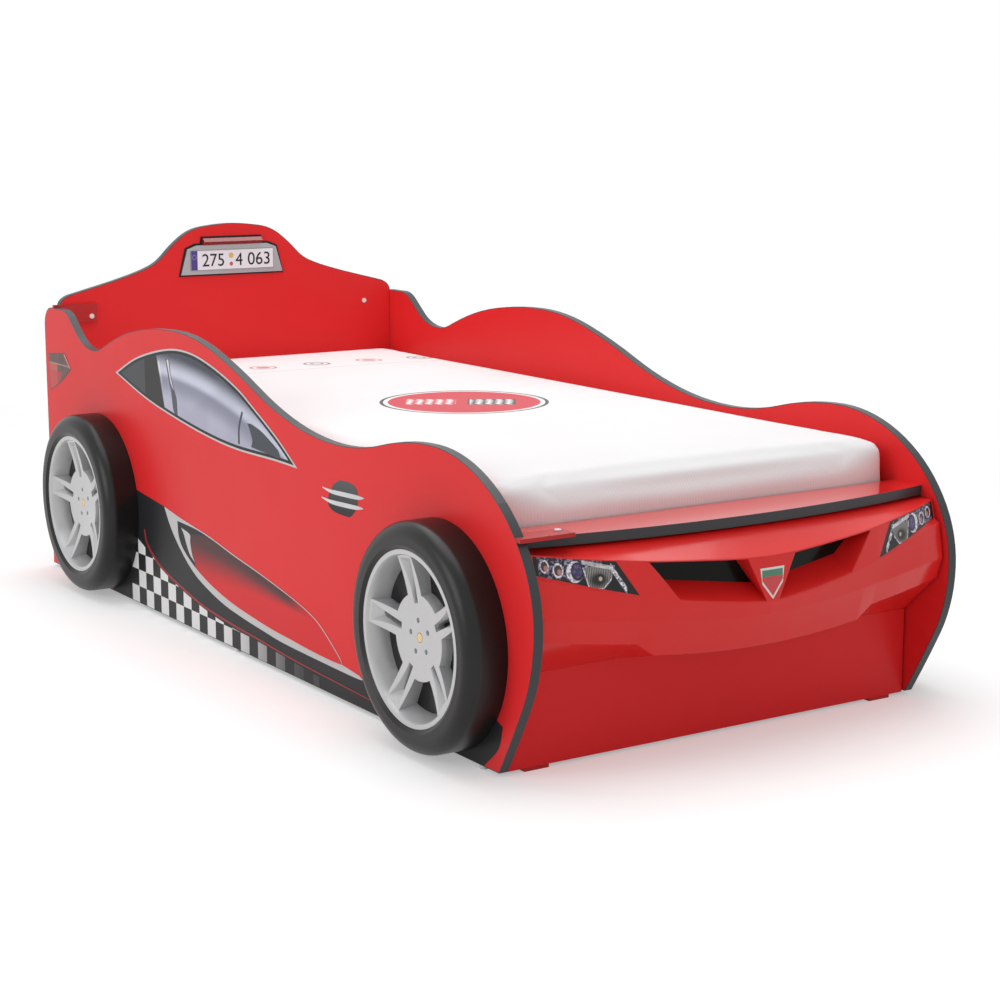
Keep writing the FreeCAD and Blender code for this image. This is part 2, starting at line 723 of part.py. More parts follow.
def slot_outline():
    """The long slot in a double spoke, round at both ends."""
    half = size("slot_width") / 2
    low = size("slot_start") + half
    high = size("slot_end") - half
    return [
        Part.LineSegment(V(half, low, 0), V(half, high, 0)),
        Part.Arc(V(half, high, 0), V(0, high + half, 0), V(-half, high, 0)),
        Part.LineSegment(V(-half, high, 0), V(-half, low, 0)),
        Part.Arc(V(-half, low, 0), V(0, low - half, 0), V(half, low, 0)),
    ]


def revolved(body, name, edges):
    """A half section turned once round the wheel's axis."""
    profile = sketch_on(body, name + "Section", "XZ_Plane", edges)
    turned = body.newObject("PartDesign::Revolution", name)
    turned.Profile = profile
    turned.ReferenceAxis = (profile, ["V_Axis"])
    turned.Angle = 360
    return turned


def around(body, name, feature, count):
    """Repeat a feature evenly round the wheel's axis."""
    ring = body.newObject("PartDesign::PolarPattern", name)
    ring.Originals = [feature]
    ring.Axis = ([f for f in body.Origin.OriginFeatures if f.Role == "Z_Axis"][0], [""])
    ring.Angle = 360
    ring.setExpression("Occurrences", count)
    body.Tip = ring
    return ring


def on_panel(body, sign, y):
    """Seat a wheel piece on the outer face of its side panel."""
    outward = V(sign, 0, 0)
    up = V(0, 0, 1)
    turn = FreeCAD.Rotation(up.cross(outward), up, outward, "XYZ")
    lean = FreeCAD.Rotation(V(0, 0, 1), -sign * size("spoke_phase"))
    body.Placement = FreeCAD.Placement(V(), turn.multiply(lean))
    return place(body, f"{sign} * Sizes.outer_width / 2", y, "Sizes.floor_gap + Sizes.wheel_height")


def hollowed(body, name, back, back_lift, front, front_lift):
    """Cut a tapering opening between a back and a front outline, all round."""
    window = body.newObject("PartDesign::SubtractiveLoft", name)
    window.Profile = sketch_on(body, name + "Back", "XY_Plane", back, back_lift)
    window.Sections = [sketch_on(body, name + "Front", "XY_Plane", front, front_lift)]
    window.Ruled = True
    around(body, name + "Ring", window, "Sizes.spoke_count")


def rim(name):
    """The dished rim: five double spokes cut out of one moulding."""
    body = body_of("Rim_" + name)
    revolved(body, "Dish_" + name, rim_outline())
    half = size("spoke_width") / 2
    inner = size("window_start")
    draft = size("window_draft")
    land = size("rim_land")
    outer = size("rim_radius") - size("rim_lip") - land
    above = size("rim_face") + land
    behind = size("rim_floor") - land
    back = window_outline(outer - draft, inner + draft / 2, half + land)
    hollowed(body, "Window_" + name, back, behind, window_outline(outer, inner, half), above)
    low, high = size("slot_start"), size("slot_end")
    slot_width = size("slot_width")
    groove_foot = flare_outline(low, high, slot_width, slot_width)
    groove_top = flare_outline(low, outer, size("flare_start"), size("flare_end"))
    hollowed(body, "Groove_" + name, groove_foot, size("flare_floor"), groove_top, above)
    slot_sketch = sketch_on(body, "SlotOutline_" + name, "XY_Plane", slot_outline(), above)
    slot = body.newObject("PartDesign::Pocket", "Slot_" + name)
    slot.Profile = slot_sketch
    slot.Type = "ThroughAll"
    around(body, "Slots_" + name, slot, "Sizes.spoke_count")
    lug_edges = [circle(0, size("lug_circle"), size("lug_radius"))]
    lug_sketch = sketch_on(body, "LugOutline_" + name, "XY_Plane", lug_edges, size("hub_face"))
    lug = body.newObject("PartDesign::Pocket", "Lug_" + name)
    lug.Profile = lug_sketch
    lug.setExpression("Length", "Sizes.lug_radius")
    around(body, "Lugs_" + name, lug, "Sizes.spoke_count")
    seat_edges = [circle(0, 0, size("screw_head") + size("seat_gap"))]
    seat_sketch = sketch_on(body, "SeatOutline_" + name, "XY_Plane", seat_edges, size("hub_face"))
    seat = body.newObject("PartDesign::Pocket", "ScrewSeat_" + name)
    seat.Profile = seat_sketch
    seat.setExpression("Length", "Sizes.screw_radius")
    body.Tip = seat
    return body


def wheels():
    screws = []
    nuts = []
    for name, sign, y in wheel_places():
        tyre = body_of("Tyre_" + name)
        revolved(tyre, "Moulding_" + name, tyre_outline())
        keep(on_panel(tyre, sign, y), "tyre_" + name)
        keep(on_panel(rim(name), sign, y), "rim_" + name)
        z = "Sizes.floor_gap + Sizes.wheel_height"
        out = V(sign, 0, 0)
        inner_end = f"{sign} * ({INNER_X} - Sizes.nut_flange)"
        run = "Sizes.hub_face - Sizes.screw_radius + Sizes.board + Sizes.nut_flange"
        shank = rod("Shank_" + name, "Sizes.screw_radius", run, inner_end, y, z, out)
        head_x = f"{sign} * (Sizes.outer_width / 2 + Sizes.hub_face - Sizes.screw_radius)"
        head = rod("Head_" + name, "Sizes.screw_head", "Sizes.screw_radius", head_x, y, z, out)
        screw = doc.addObject("Part::Fuse", "Screw_" + name)
        screw.Base = shank
        screw.Tool = head
        screws.append(screw)
        flange = rod("Flange_" + name, "Sizes.nut_radius", "Sizes.nut_flange", inner_end, y, z, out)
        nuts.append(cut("Nut_" + name, flange, [shank]))
    keep(group("Screws", screws), "wheel_screws")
    keep(group("Nuts", nuts), "wheel_nuts")


wheels()


# ------------------------------------------------- hooks, plate and glides
def hooks():
    """Red hooks that tie the left panel to the hood board and headboard."""
    whole = WHOLE_PANELS["left"]
    outer = "-Sizes.outer_width / 2"
    reach = "Sizes.board + Sizes.hook_reach"
    top = "Sizes.floor_gap + Sizes.hood_top"
    front_y = f"{HOOD_REAR_X} - Sizes.hood_side_depth - Sizes.hook_over"
    plate = box("FrontHookPlate", reach, "Sizes.hook_width", "Sizes.hook_thick", outer, front_y, top)
    keep(cut("FrontHook", plate, [whole]), "front_hook")
    foot = "Sizes.floor_gap + Sizes.shoulder_height + Sizes.hook_thick - Sizes.hook_width"
    y = f"{HEAD_X} - Sizes.hook_thick"
    plate = box("RearHookPlate", reach, "Sizes.hook_thick", "Sizes.hook_width", outer, y, foot)
    keep(cut("RearHook", plate, [whole]), "rear_hook")
    end = f"{INNER_X} - Sizes.hook_reach + Sizes.cap_set"
    radius, rise = "Sizes.cap_radius", "Sizes.cap_rise"
    front_cap_y = f"{front_y} + Sizes.hook_width - Sizes.cap_set"
    front_cap_z = f"{top} + Sizes.hook_thick"
    cap_z = f"{foot} + Sizes.cap_set"
    forward = V(0, -1, 0)
    caps = [
        rod("FrontCap", radius, rise, f"-({end})", front_cap_y, front_cap_z, V(0, 0, 1)),
        rod("RearCap", radius, rise, f"-({end})", y, cap_z, forward),
        rod("SpareCap", radius, rise, end, HEAD_X, cap_z, forward),
    ]
    keep(group("Caps", caps), "screw_caps")


def plate():
    """Number plate in its frame under a lamp, on the headboard."""
    rise = size("frame_rim")
    shoulder = size("plate_height") + rise / 4
    right = [
        (size("frame_foot") / 2, -size("frame_sill")),
        (size("frame_shoulder") / 2, shoulder),
        (size("frame_top") / 2, size("plate_height") + rise),
    ]
    outline = closed(right + [(-x, y) for x, y in reversed(right)])
    foot = "Sizes.floor_gap + Sizes.head_height - Sizes.plate_drop"
    forward = V(0, -1, 0)
    frame = prism("PlateFrame", outline, FACE, "0", HEAD_X, foot, forward, "Sizes.frame_thick")[1]
    keep(frame, "plate_frame")
    y = f"{HEAD_X} - Sizes.frame_thick - Sizes.plate_thick"
    wide, thick, tall = "Sizes.plate_width", "Sizes.plate_thick", "Sizes.plate_height"
    keep(box("Plate", wide, thick, tall, "-Sizes.plate_width / 2", y, foot), "number_plate")
    deep = size("lamp_depth")
    high = size("lamp_height")
    lamp = body_of("PlateLamp")
    section = closed([(0, 0), (-deep / 2, 0), (-deep, high / 2), (-deep / 2, high), (0, high)])
    start = -size("lamp_width") / 2
    sketch = sketch_on(lamp, "LampSection", "YZ_Plane", section, start)
    lamp.Tip = pad(lamp, "LampBar", sketch, "Sizes.lamp_width")
    lamp_foot = f"{foot} + Sizes.plate_height + Sizes.frame_rim"
    keep(place(lamp, "0", HEAD_X, lamp_foot), "plate_lamp")


def glides():
    """Plastic glides under the side panels."""
    made = []
    front = f"{NOSE_X} + Sizes.toe_set + Sizes.glide_set"
    rear = f"{REAR_X} - Sizes.glide_set"
    for side, sign in SIDES:
        x = f"{sign} * ({INNER_X} + Sizes.board / 2)"
        for number, y in enumerate((front, f"(({front}) + ({rear})) / 2", rear)):
            name = f"Glide{side}{number}"
            made.append(rod(name, "Sizes.glide_radius", "Sizes.floor_gap", x, y, "0", V(0, 0, 1)))
    keep(group("Glides", made), "panel_glides")


hooks()
plate()
glides()


# ------------------------------------------- nose of the rolling bed: form
HALF = FRONT_HALF
NOSE_DEPTH = size("front_set") + size("bumper_reach")


def lip(x):
    """The bumper's upper crease: depth before the front board, and height."""
    share = abs(x) / HALF
    depth = size("lip_depth") - size("lip_sweep") * share ** 2
    return depth, FOOT + size("lip_height") + size("lip_rise") * share ** 1.6


def belt(x):
    """The bumper's lower crease, its foremost line."""
    share = abs(x) / HALF
    depth = NOSE_DEPTH - size("belt_sweep") * share ** 1.8
    return depth, FOOT + size("belt_height") + size("belt_rise") * share ** 1.45


def ledge(x):
    """The back of the ledge under the headlights, widest at the ends."""
    start = size("lamp_inner_foot")
    share = max(0, abs(x) - start) / (HALF - start)
    depth, height = belt(x)
    depth -= size("lamp_shelf") * share
    return depth, height + size("crease_land") + size("ledge_rise") * share


def chin(x):
    """The bumper's lower edge: a chin in the middle, a jaw on each side."""
    share = abs(x) / HALF
    depth = size("chin_depth") - size("chin_sweep") * share ** 4
    start = size("chin_half")
    slant = size("chin_slant")
    past = abs(x) - start
    low = size("chin_height") + size("chin_rise") * min(1, abs(x) / start) ** 2
    jaw = size("jaw_height") + size("jaw_rise") * max(0, past - slant) / (HALF - start - slant)
    height = low + (jaw - low) * max(0, min(1, past / slant))
    return depth, FOOT + height


def hood_cover(x):
    """The bumper's top runs back level under the hood board from here."""
    front = hood_front(x) + size("front_set") - size("hood_set")
    return front - size("cover_lap"), FRONT_TOP


def cheek(x):
    """The bumper's lower face, bulging between its crease and its lower edge."""
    fore, low = belt(x), chin(x)
    height = (fore[1] + FOOT + size("jaw_height")) / 2
    share = (fore[1] - height) / (fore[1] - low[1])
    bulge = size("cheek_belly") + size("cheek_bulge") * (x / HALF) ** 2
    return fore[0] + (low[0] - fore[0]) * share + bulge, height


def bumper_section(x):
    """One upright section of the bumper as (depth, height) corners."""
    throat = (0, FOOT + size("throat_height"))
    return [(0, FRONT_TOP), hood_cover(x), lip(x), ledge(x), belt(x), cheek(x), chin(x), throat]


def shrunk(corners, wall):
    """The section drawn in by the wall, but run out through its open back."""
    count = len(corners)
    lines = []
    for index, (y, z) in enumerate(corners):
        y2, z2 = corners[(index + 1) % count]
        long = math.hypot(y2 - y, z2 - z)
        shift = wall if index < count - 1 else -wall
        along = ((y2 - y) / long, (z2 - z) / long)
        lines.append((y + along[1] * shift, z - along[0] * shift, *along))
    inner = []
    for index in range(count):
        y, z, dy, dz = lines[index - 1]
        y2, z2, dy2, dz2 = lines[index]
        cross = dy * dz2 - dz * dy2
        reach = ((y2 - y) * dz2 - (z2 - z) * dy2) / cross
        inner.append((y + dy * reach, z + dz * reach))
    return inner


def stations():
    """Where the bumper is cut across, from the left end to the right."""
    start = size("chin_half")
    slant_end = start + size("chin_slant")
    steps = [0, start * 0.25, start * 0.5, start * 0.75, start, slant_end]
    steps += [slant_end + (HALF - slant_end) * share for share in (0.33, 0.67, 1)]
    return [-x for x in reversed(steps[1:])] + steps


def outline_at(x, corners):
    """A section as a closed wire at its place."""
    points = [V(x, FRONT - depth, height) for depth, height in corners]
    return Part.makePolygon(points + points[:1])


def bumper_form():
    """The bumper's outer form, filled."""
    wires = [outline_at(x, bumper_section(x)) for x in stations()]
    return Part.makeLoft(wires, True, True)


def bumper_hollow():
    """The space inside the bumper's wall, open towards the front board."""
    wall = size("shell")
    limit = HALF - wall
    places = [max(-limit, min(limit, x)) for x in stations()]
    wires = [outline_at(x, shrunk(bumper_section(x), wall)) for x in places]
    return Part.makeLoft(wires, True, True)


def mouth(side, grow):
    """The recess of one grille and its back, wider all round by grow."""
    depth = size("mouth_depth")
    inner, outer = size("mouth_inner"), size("mouth_outer")
    inner_foot, outer_foot = size("mouth_inner_foot"), size("mouth_outer_foot")
    inner_back = lip(inner)[0] - depth
    slope = (lip(outer)[0] - depth - inner_back) / (outer - inner)
    rise = size("mouth_rise")
    above = grow - size("lip_land")
    below = size("mouth_land") - grow
    corners = [
        (inner - grow, *lip(inner), 0, above),
        (outer + grow, *lip(outer), 0, above),
        (outer_foot + grow, *belt(outer_foot), rise, below),
        (inner_foot - grow, *belt(inner_foot), rise, below),
    ]
    back, front = [], []
    for x, reach, height, climb, shift in corners:
        plane = inner_back + slope * (x - inner) - grow
        deep = V(side * x, FRONT - plane, height + climb + shift)
        face = V(side * x, FRONT - reach, height + shift)
        way = face - deep
        fore = plane + 2 * depth + grow
        back.append(deep)
        front.append(deep + way * ((FRONT - fore - deep.y) / way.y))
    wires = [Part.makePolygon(row + row[:1]) for row in (back, front)]
    return Part.makeLoft(wires, True, True), Part.Face(wires[0])


def face_prism(points):
    """An outline in the (x, z) plane pushed through the whole bumper."""
    reach = size("tyre_radius")
    wire = Part.makePolygon([V(x, FRONT, z) for x, z in points + points[:1]])
    return Part.Face(wire).extrude(V(0, -reach, 0))


def inlay(form, points, depth):
    """A piece let into the bumper's face, following its form."""
    behind = form.copy()
    behind.translate(V(0, depth, 0))
    return form.common(face_prism(points)).cut(behind)


def lamp_outline(side):
    """The headlight, as (x, z) corners."""
    top, foot = size("lamp_inner"), size("lamp_inner_foot")
    outer = size("lamp_outer")
    land = size("lip_land")
    above = [(x, lip(x)[1] - land) for x in (top, (top + outer) / 2, outer)]
    below = [(x, ledge(x)[1] + land) for x in (outer, (outer + foot) / 2, foot)]
    return [(side * x, z) for x, z in above + below]


def badge_outline():
    """A plain shield on the pillar between the grilles."""
    half = size("badge_width") / 2
    waist = half - size("badge_taper")
    tall = size("badge_height")
    top = lip(0)[1] - size("badge_drop")
    middle = top - tall / 2
    return [(-half, top), (half, top), (waist, middle), (0, top - tall), (-waist, middle)]


def boss_places():
    """Screw bosses inside the bumper: sign of the side, and the sizes' names."""
    pairs = (("boss_inner", "boss_low"), ("boss_outer", "boss_high"))
    return [(sign, across, up) for across, up in pairs for sign in (-1, 1)]


def feature(name, shape, label):
    """A free form as an object of its own."""
    obj = doc.addObject("Part::Feature", name)
    obj.Shape = shape
    return keep(obj, label)


def bumper():
    """The moulded nose: shell, let-in headlights, grilles and badge."""
    form = bumper_form()
    walls = [mouth(side, size("shell"))[0] for side in (-1, 1)]
    hollow = bumper_hollow().cut(walls[0]).cut(walls[1])
    shell = form.cut(hollow)
    forward = V(0, -1, 0)
    feet = [V(sign * size(across), FRONT, FOOT + size(up)) for sign, across, up in boss_places()]
    for foot in feet:
        boss = Part.makeCylinder(size("boss_radius"), NOSE_DEPTH, foot, forward)
        shell = shell.fuse(boss.common(form))
    for foot in feet:
        shell = shell.cut(Part.makeCylinder(size("boss_bore"), size("board"), foot, forward))
    for side in (-1, 1):
        shell = shell.cut(mouth(side, 0)[0])
    lamps = [inlay(form, lamp_outline(side), size("lamp_inset")) for side in (-1, 1)]
    badge = inlay(form, badge_outline(), size("badge_thick"))
    for piece in lamps + [badge]:
        shell = shell.cut(piece)
    feature("Bumper", shell, "bumper")
    feature("Badge", badge, "badge")
    for (name, side), lamp in zip(SIDES, lamps):
        feature("Headlight" + name, lamp, "headlight_" + name)
        recess, back = mouth(side, 0)
        grille = back.extrude(V(0, -size("grille_thick"), 0)).common(recess)
        feature("Grille" + name, grille, "grille_" + name)


bumper()


# ----------------------------------------------- rolling bed behind the nose
def front_board():
    """The rolling bed's front board, which the bumper is screwed to."""
    width = f"2 * {FRONT_HALF_X}"
    height = f"{FRONT_TOP_X} - Sizes.front_foot"
    low_x, low_z = f"-{FRONT_HALF_X}", "Sizes.front_foot"
    plain = box("FrontBoard", width, "Sizes.board", height, low_x, FRONT_X, low_z)
    rear = f"{FRONT_X} + Sizes.board"
    bores = []
    screws = []
    run = "2 * Sizes.board - Sizes.screw_short"
    bore = "Sizes.boss_bore"
    for number, (sign, across, up) in enumerate(boss_places()):
        x = f"{sign} * Sizes.{across}"
        z = f"Sizes.floor_gap + Sizes.{up}"
        shank = rod(f"NoseShank{number}", bore, run, x, rear, z, V(0, -1, 0))
        head = rod(f"NoseHead{number}", "2 * Sizes.boss_bore", bore, x, rear, z, V(0, 1, 0))
        screw = doc.addObject("Part::Fuse", f"NoseScrew{number}")
        screw.Base = shank
        screw.Tool = head
        screws.append(screw)
        bores.append(shank)
    keep(cut("FrontBoardDrilled", plain, [group("FrontBoardHoles", bores)]), "trundle_front_board")
    keep(group("NoseScrews", screws), "bumper_screws")
    feet = []
    half = "Sizes.foot_width / 2"
    for side, sign in SIDES:
        x = f"{sign} * ({FRONT_HALF_X} - Sizes.foot_inset - {half}) - {half}"
        feet.append(box("Foot" + side, "Sizes.foot_width", "Sizes.board", low_z, x, FRONT_X, "0"))
    keep(group("Feet", feet), "front_feet")


TRAY_HALF_X = f"({INNER_X} - Sizes.side_gap - Sizes.tray_inset)"
TRAY_FRONT_X = f"({FRONT_X} + Sizes.board)"
TRAY_RUN = f"({HEAD_X} - Sizes.tray_clear - {TRAY_FRONT_X})"


def tray():
    """Base, sides and back of the second bed."""
    top = "Sizes.tray_floor + Sizes.tray_base"
    width = f"2 * {TRAY_HALF_X}"
    low_x, y, z = f"-{TRAY_HALF_X}", TRAY_FRONT_X, "Sizes.tray_floor"
    keep(box("TrayBase", width, TRAY_RUN, "Sizes.tray_base", low_x, y, z), "trundle_base")
    for side, sign in SIDES:
        x = low_x if sign < 0 else f"{TRAY_HALF_X} - Sizes.board"
        board = box("TraySide" + side, "Sizes.board", TRAY_RUN, "Sizes.tray_side", x, y, top)
        keep(board, "trundle_side_" + side)
    across = f"{width} - 2 * Sizes.board"
    rear = f"{TRAY_FRONT_X} + {TRAY_RUN} - Sizes.board"
    inner_x = f"{low_x} + Sizes.board"
    back = box("TrayBack", across, "Sizes.board", "Sizes.tray_side", inner_x, rear, top)
    keep(back, "trundle_back")


def guides():
    """Nylon blocks that guide the rolling bed between the side panels."""
    made = []
    thick = "Sizes.side_gap + Sizes.tray_inset - Sizes.soft_gap"
    foot = "Sizes.tray_floor + Sizes.tray_base + Sizes.guide_height"
    for end, run in (("Front", "Sizes.castor_inset"), ("Rear", f"{TRAY_RUN} - Sizes.castor_inset")):
        for side, sign in SIDES:
            x = TRAY_HALF_X if sign > 0 else f"-{TRAY_HALF_X} - ({thick})"
            y = f"{TRAY_FRONT_X} + {run} - Sizes.guide_length / 2"
            name = f"Guide{end}{side}"
            made.append(box(name, thick, "Sizes.guide_length", "Sizes.guide_height", x, y, foot))
    keep(group("Guides", made), "guide_blocks")


def castors():
    """Four fixed castors under the base: forks, axles and wheels."""
    forks = []
    axles = []
    cheek_gap = "(Sizes.castor_width / 2 + Sizes.castor_gap)"
    tall = "Sizes.tray_floor - Sizes.castor_radius + Sizes.axle_radius * 2"
    foot = "Sizes.castor_radius - Sizes.axle_radius * 2"
    wide, thick, radius = "Sizes.castor_radius", "Sizes.fork_cheek", "Sizes.castor_radius"
    width = "Sizes.castor_width"
    bore_radius = "Sizes.axle_radius + Sizes.axle_gap"
    across = f"2 * ({cheek_gap} + {thick})"
    along = V(1, 0, 0)
    for end, run in (("front", "Sizes.castor_inset"), ("rear", f"{TRAY_RUN} - Sizes.castor_inset")):
        for side, sign in SIDES:
            name = f"{end}_{side}"
            x = f"({sign} * ({TRAY_HALF_X} - Sizes.castor_inset))"
            y = f"({TRAY_FRONT_X} + {run})"
            low_y = f"{y} - {wide} / 2"
            start = f"{x} - {cheek_gap} - {thick}"
            near = box("NearCheek_" + name, thick, wide, tall, start, low_y, foot)
            far = box("FarCheek_" + name, thick, wide, tall, f"{x} + {cheek_gap}", low_y, foot)
            bridge_z = f"Sizes.tray_floor - {thick}"
            bridge = box("Bridge_" + name, across, wide, thick, start, low_y, bridge_z)
            shape = doc.addObject("Part::MultiFuse", "ForkShape_" + name)
            shape.Shapes = [near, far, bridge]
            axle = rod("Axle_" + name, "Sizes.axle_radius", across, start, y, radius, along)
            forks.append(cut("Fork_" + name, shape, [axle]))
            axles.append(axle)
            tread_x = f"{x} - {width} / 2"
            tread = rod("Tread_" + name, radius, width, tread_x, y, radius, along)
            bore = rod("TreadBore_" + name, bore_radius, width, tread_x, y, radius, along)
            keep(cut("Castor_" + name, tread, [bore]), "castor_" + name)
    keep(group("Forks", forks), "castor_forks")
    keep(group("Axles", axles), "castor_axles")


front_board()
tray()
guides()
castors()


# ------------------------------------------------------------ check and write
def check_and_write():
    doc.recompute()
    for obj in doc.Objects:
        if "Invalid" in obj.State or "Error" in obj.State:
            raise RuntimeError(f"{obj.Name} failed: {obj.State}")
    for obj in sub_parts:
        if obj.Shape.isNull() or not obj.Shape.isValid() or not obj.Shape.Solids:
            raise RuntimeError(f"{obj.Label} has no valid solid")
    os.makedirs("parts", exist_ok=True)
    for obj in sub_parts:
        obj.Shape.exportStep(f"parts/{obj.Label}.step")
        print(f"{obj.Label}: {len(obj.Shape.Solids)} solid(s), {obj.Shape.Volume / 1e6:.3f} litres")


check_and_write()
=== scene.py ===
import math

import bmesh
import bpy
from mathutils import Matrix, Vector


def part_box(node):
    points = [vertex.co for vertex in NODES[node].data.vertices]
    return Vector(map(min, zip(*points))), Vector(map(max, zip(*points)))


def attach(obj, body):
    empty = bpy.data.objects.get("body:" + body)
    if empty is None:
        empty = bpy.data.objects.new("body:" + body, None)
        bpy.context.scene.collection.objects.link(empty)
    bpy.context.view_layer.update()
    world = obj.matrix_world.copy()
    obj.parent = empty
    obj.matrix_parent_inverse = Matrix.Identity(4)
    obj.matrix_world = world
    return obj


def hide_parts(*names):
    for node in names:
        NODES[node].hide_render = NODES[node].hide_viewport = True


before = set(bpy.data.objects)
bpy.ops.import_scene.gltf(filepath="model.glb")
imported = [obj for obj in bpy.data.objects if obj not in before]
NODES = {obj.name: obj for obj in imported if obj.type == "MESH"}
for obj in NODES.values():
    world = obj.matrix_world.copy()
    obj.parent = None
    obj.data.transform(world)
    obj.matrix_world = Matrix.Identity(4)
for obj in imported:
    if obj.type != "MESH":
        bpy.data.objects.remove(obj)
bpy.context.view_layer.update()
BED = "bed_frame"
SIDES = (("left", -1), ("right", 1))
PANEL = 0.475          # outer face of a side panel
FILM = 0.0002          # one layer of printed film
SAME = 1e-5            # points closer than this are one point


# ---------------------------------------------------------------- materials
class Mat:
    """A procedural material: a Principled shader with its node helpers."""

    def __init__(self, name, rough=0.4, metal=0.0, coat=0.0, coat_rough=0.08, sheen=0.0, spec=0.5):
        self.mat = bpy.data.materials.new(name)
        self.mat.use_nodes = True
        self.nodes = self.mat.node_tree.nodes
        self.links = self.mat.node_tree.links
        self.bsdf = self.nodes["Principled BSDF"]
        self.bsdf.inputs["Roughness"].default_value = rough
        self.bsdf.inputs["Metallic"].default_value = metal
        self.bsdf.inputs["Coat Weight"].default_value = coat
        self.bsdf.inputs["Coat Roughness"].default_value = coat_rough
        self.bsdf.inputs["Sheen Weight"].default_value = sheen
        self.bsdf.inputs["Specular IOR Level"].default_value = spec
        self.where = self.nodes.new("ShaderNodeTexCoord").outputs["Object"]
        split = self.nodes.new("ShaderNodeSeparateXYZ")
        self.links.new(self.where, split.inputs[0])
        self.x, self.y, self.z = split.outputs
        self.rough = rough

    def put(self, socket, value):
        """Sets a socket to a number or a colour, or links another socket to it."""
        if isinstance(value, (int, float)):
            socket.default_value = value
        elif isinstance(value, (tuple, list)):
            opaque = (1.0,) if len(value) == 3 and len(socket.default_value) == 4 else ()
            socket.default_value = tuple(value) + opaque
        else:
            self.links.new(value, socket)

    def calc(self, how, a, b=0.0):
        node = self.nodes.new("ShaderNodeMath")
        node.operation = how
        self.put(node.inputs[0], a)
        self.put(node.inputs[1], b)
        return node.outputs[0]

    def plus(self, a, b):
        return self.calc("ADD", a, b)

    def minus(self, a, b):
        return self.calc("SUBTRACT", a, b)

    def times(self, a, b):
        return self.calc("MULTIPLY", a, b)

    def over(self, a, b):
        return self.calc("DIVIDE", a, b)

    def size(self, a):
        return self.calc("ABSOLUTE", a)

    def length(self, a, b):
        return self.calc("SQRT", self.plus(self.times(a, a), self.times(b, b)))

    def step(self, value, low, high):
        """0 below low, 1 above high, smooth between."""
        node = self.nodes.new("ShaderNodeMapRange")
        node.interpolation_type = "SMOOTHSTEP"
        self.put(node.inputs["Value"], value)
        if low > high:
            low, high = high, low
            node.inputs["To Min"].default_value = 1.0
            node.inputs["To Max"].default_value = 0.0
        node.inputs["From Min"].default_value = low
        node.inputs["From Max"].default_value = high
        return node.outputs[0]

    def mix(self, share, a, b):
        node = self.nodes.new("ShaderNodeMix")
        node.data_type = "RGBA"
        self.put(node.inputs[0], share)
        self.put(node.inputs[6], a)
        self.put(node.inputs[7], b)
        return node.outputs[2]

    def vector(self, x, y, z):
        node = self.nodes.new("ShaderNodeCombineXYZ")
        for socket, value in zip(node.inputs, (x, y, z)):
            self.put(socket, value)
        return node.outputs[0]

    def noise(self, scale, detail=3.0, rough=0.5, where=None):
        node = self.nodes.new("ShaderNodeTexNoise")
        node.inputs["Scale"].default_value = scale
        node.inputs["Detail"].default_value = detail
        node.inputs["Roughness"].default_value = rough
        self.links.new(where or self.where, node.inputs["Vector"])
        return node.outputs["Fac"]

    def ring(self, cx, cy):
        """Distance from a point in the (x, y) plane."""
        return self.length(self.minus(self.x, cx), self.minus(self.y, cy))

    def oval(self, x, cx, cz, half_x, half_z):
        """0 in the middle of an oval in the (x, z) plane, 1 on its edge."""
        return self.length(self.over(self.minus(x, cx), half_x), self.over(self.minus(self.z, cz), half_z))

    def color(self, value, vary=0.06, scale=6.0):
        """Sets the colour, uneven by a few per cent as real surfaces are."""
        if isinstance(value, (tuple, list)):
            dark = tuple(v * (1 - vary) for v in value[:3])
            light = tuple(min(1, v * (1 + vary)) for v in value[:3])
            value = self.mix(self.noise(scale), dark, light)
        self.put(self.bsdf.inputs["Base Color"], value)
        return self

    def wear(self, spread):
        """Roughness that changes a little over the surface."""
        node = self.nodes.new("ShaderNodeMapRange")
        self.put(node.inputs["Value"], self.noise(9.0, 4.0))
        node.inputs["To Min"].default_value = max(0.02, self.rough - spread)
        node.inputs["To Max"].default_value = self.rough + spread
        self.links.new(node.outputs[0], self.bsdf.inputs["Roughness"])
        return self

    def bump(self, height, depth, strength):
        node = self.nodes.new("ShaderNodeBump")
        node.inputs["Strength"].default_value = strength
        node.inputs["Distance"].default_value = depth
        self.links.new(height, node.inputs["Height"])
        self.links.new(node.outputs[0], self.bsdf.inputs["Normal"])
        if self.bsdf.inputs["Coat Weight"].default_value:
            self.links.new(node.outputs[0], self.bsdf.inputs["Coat Normal"])
        return self

    def rounded(self, radius):
        """Real moulded edges are rounded: the bump starts from bevelled normals."""
        edge = self.nodes.new("ShaderNodeBevel")
        edge.inputs["Radius"].default_value = radius
        for node in self.nodes:
            if node.type == "BUMP":
                self.links.new(edge.outputs[0], node.inputs["Normal"])
        return self

    def grain(self, scale, depth, strength):
        """A fine, even relief."""
        return self.bump(self.noise(scale, 4.0, 0.6), depth, strength)


RED = (0.74, 0.025, 0.027)
MOULDED_RED = (0.74, 0.022, 0.020)
DARK = (0.030, 0.031, 0.033)
INK = {"rough": 0.34, "grain": 400.0, "depth": 0.00005, "strength": 0.1, "spec": 0.14}


def plain(name, color, rough, grain=300.0, depth=0.0001, strength=0.25, vary=0.05, **more):
    """One colour, a little uneven, with a fine grain."""
    m = Mat(name, rough, **more).color(color, vary)
    return m.wear(min(0.06, rough / 3)).grain(grain, depth, strength)


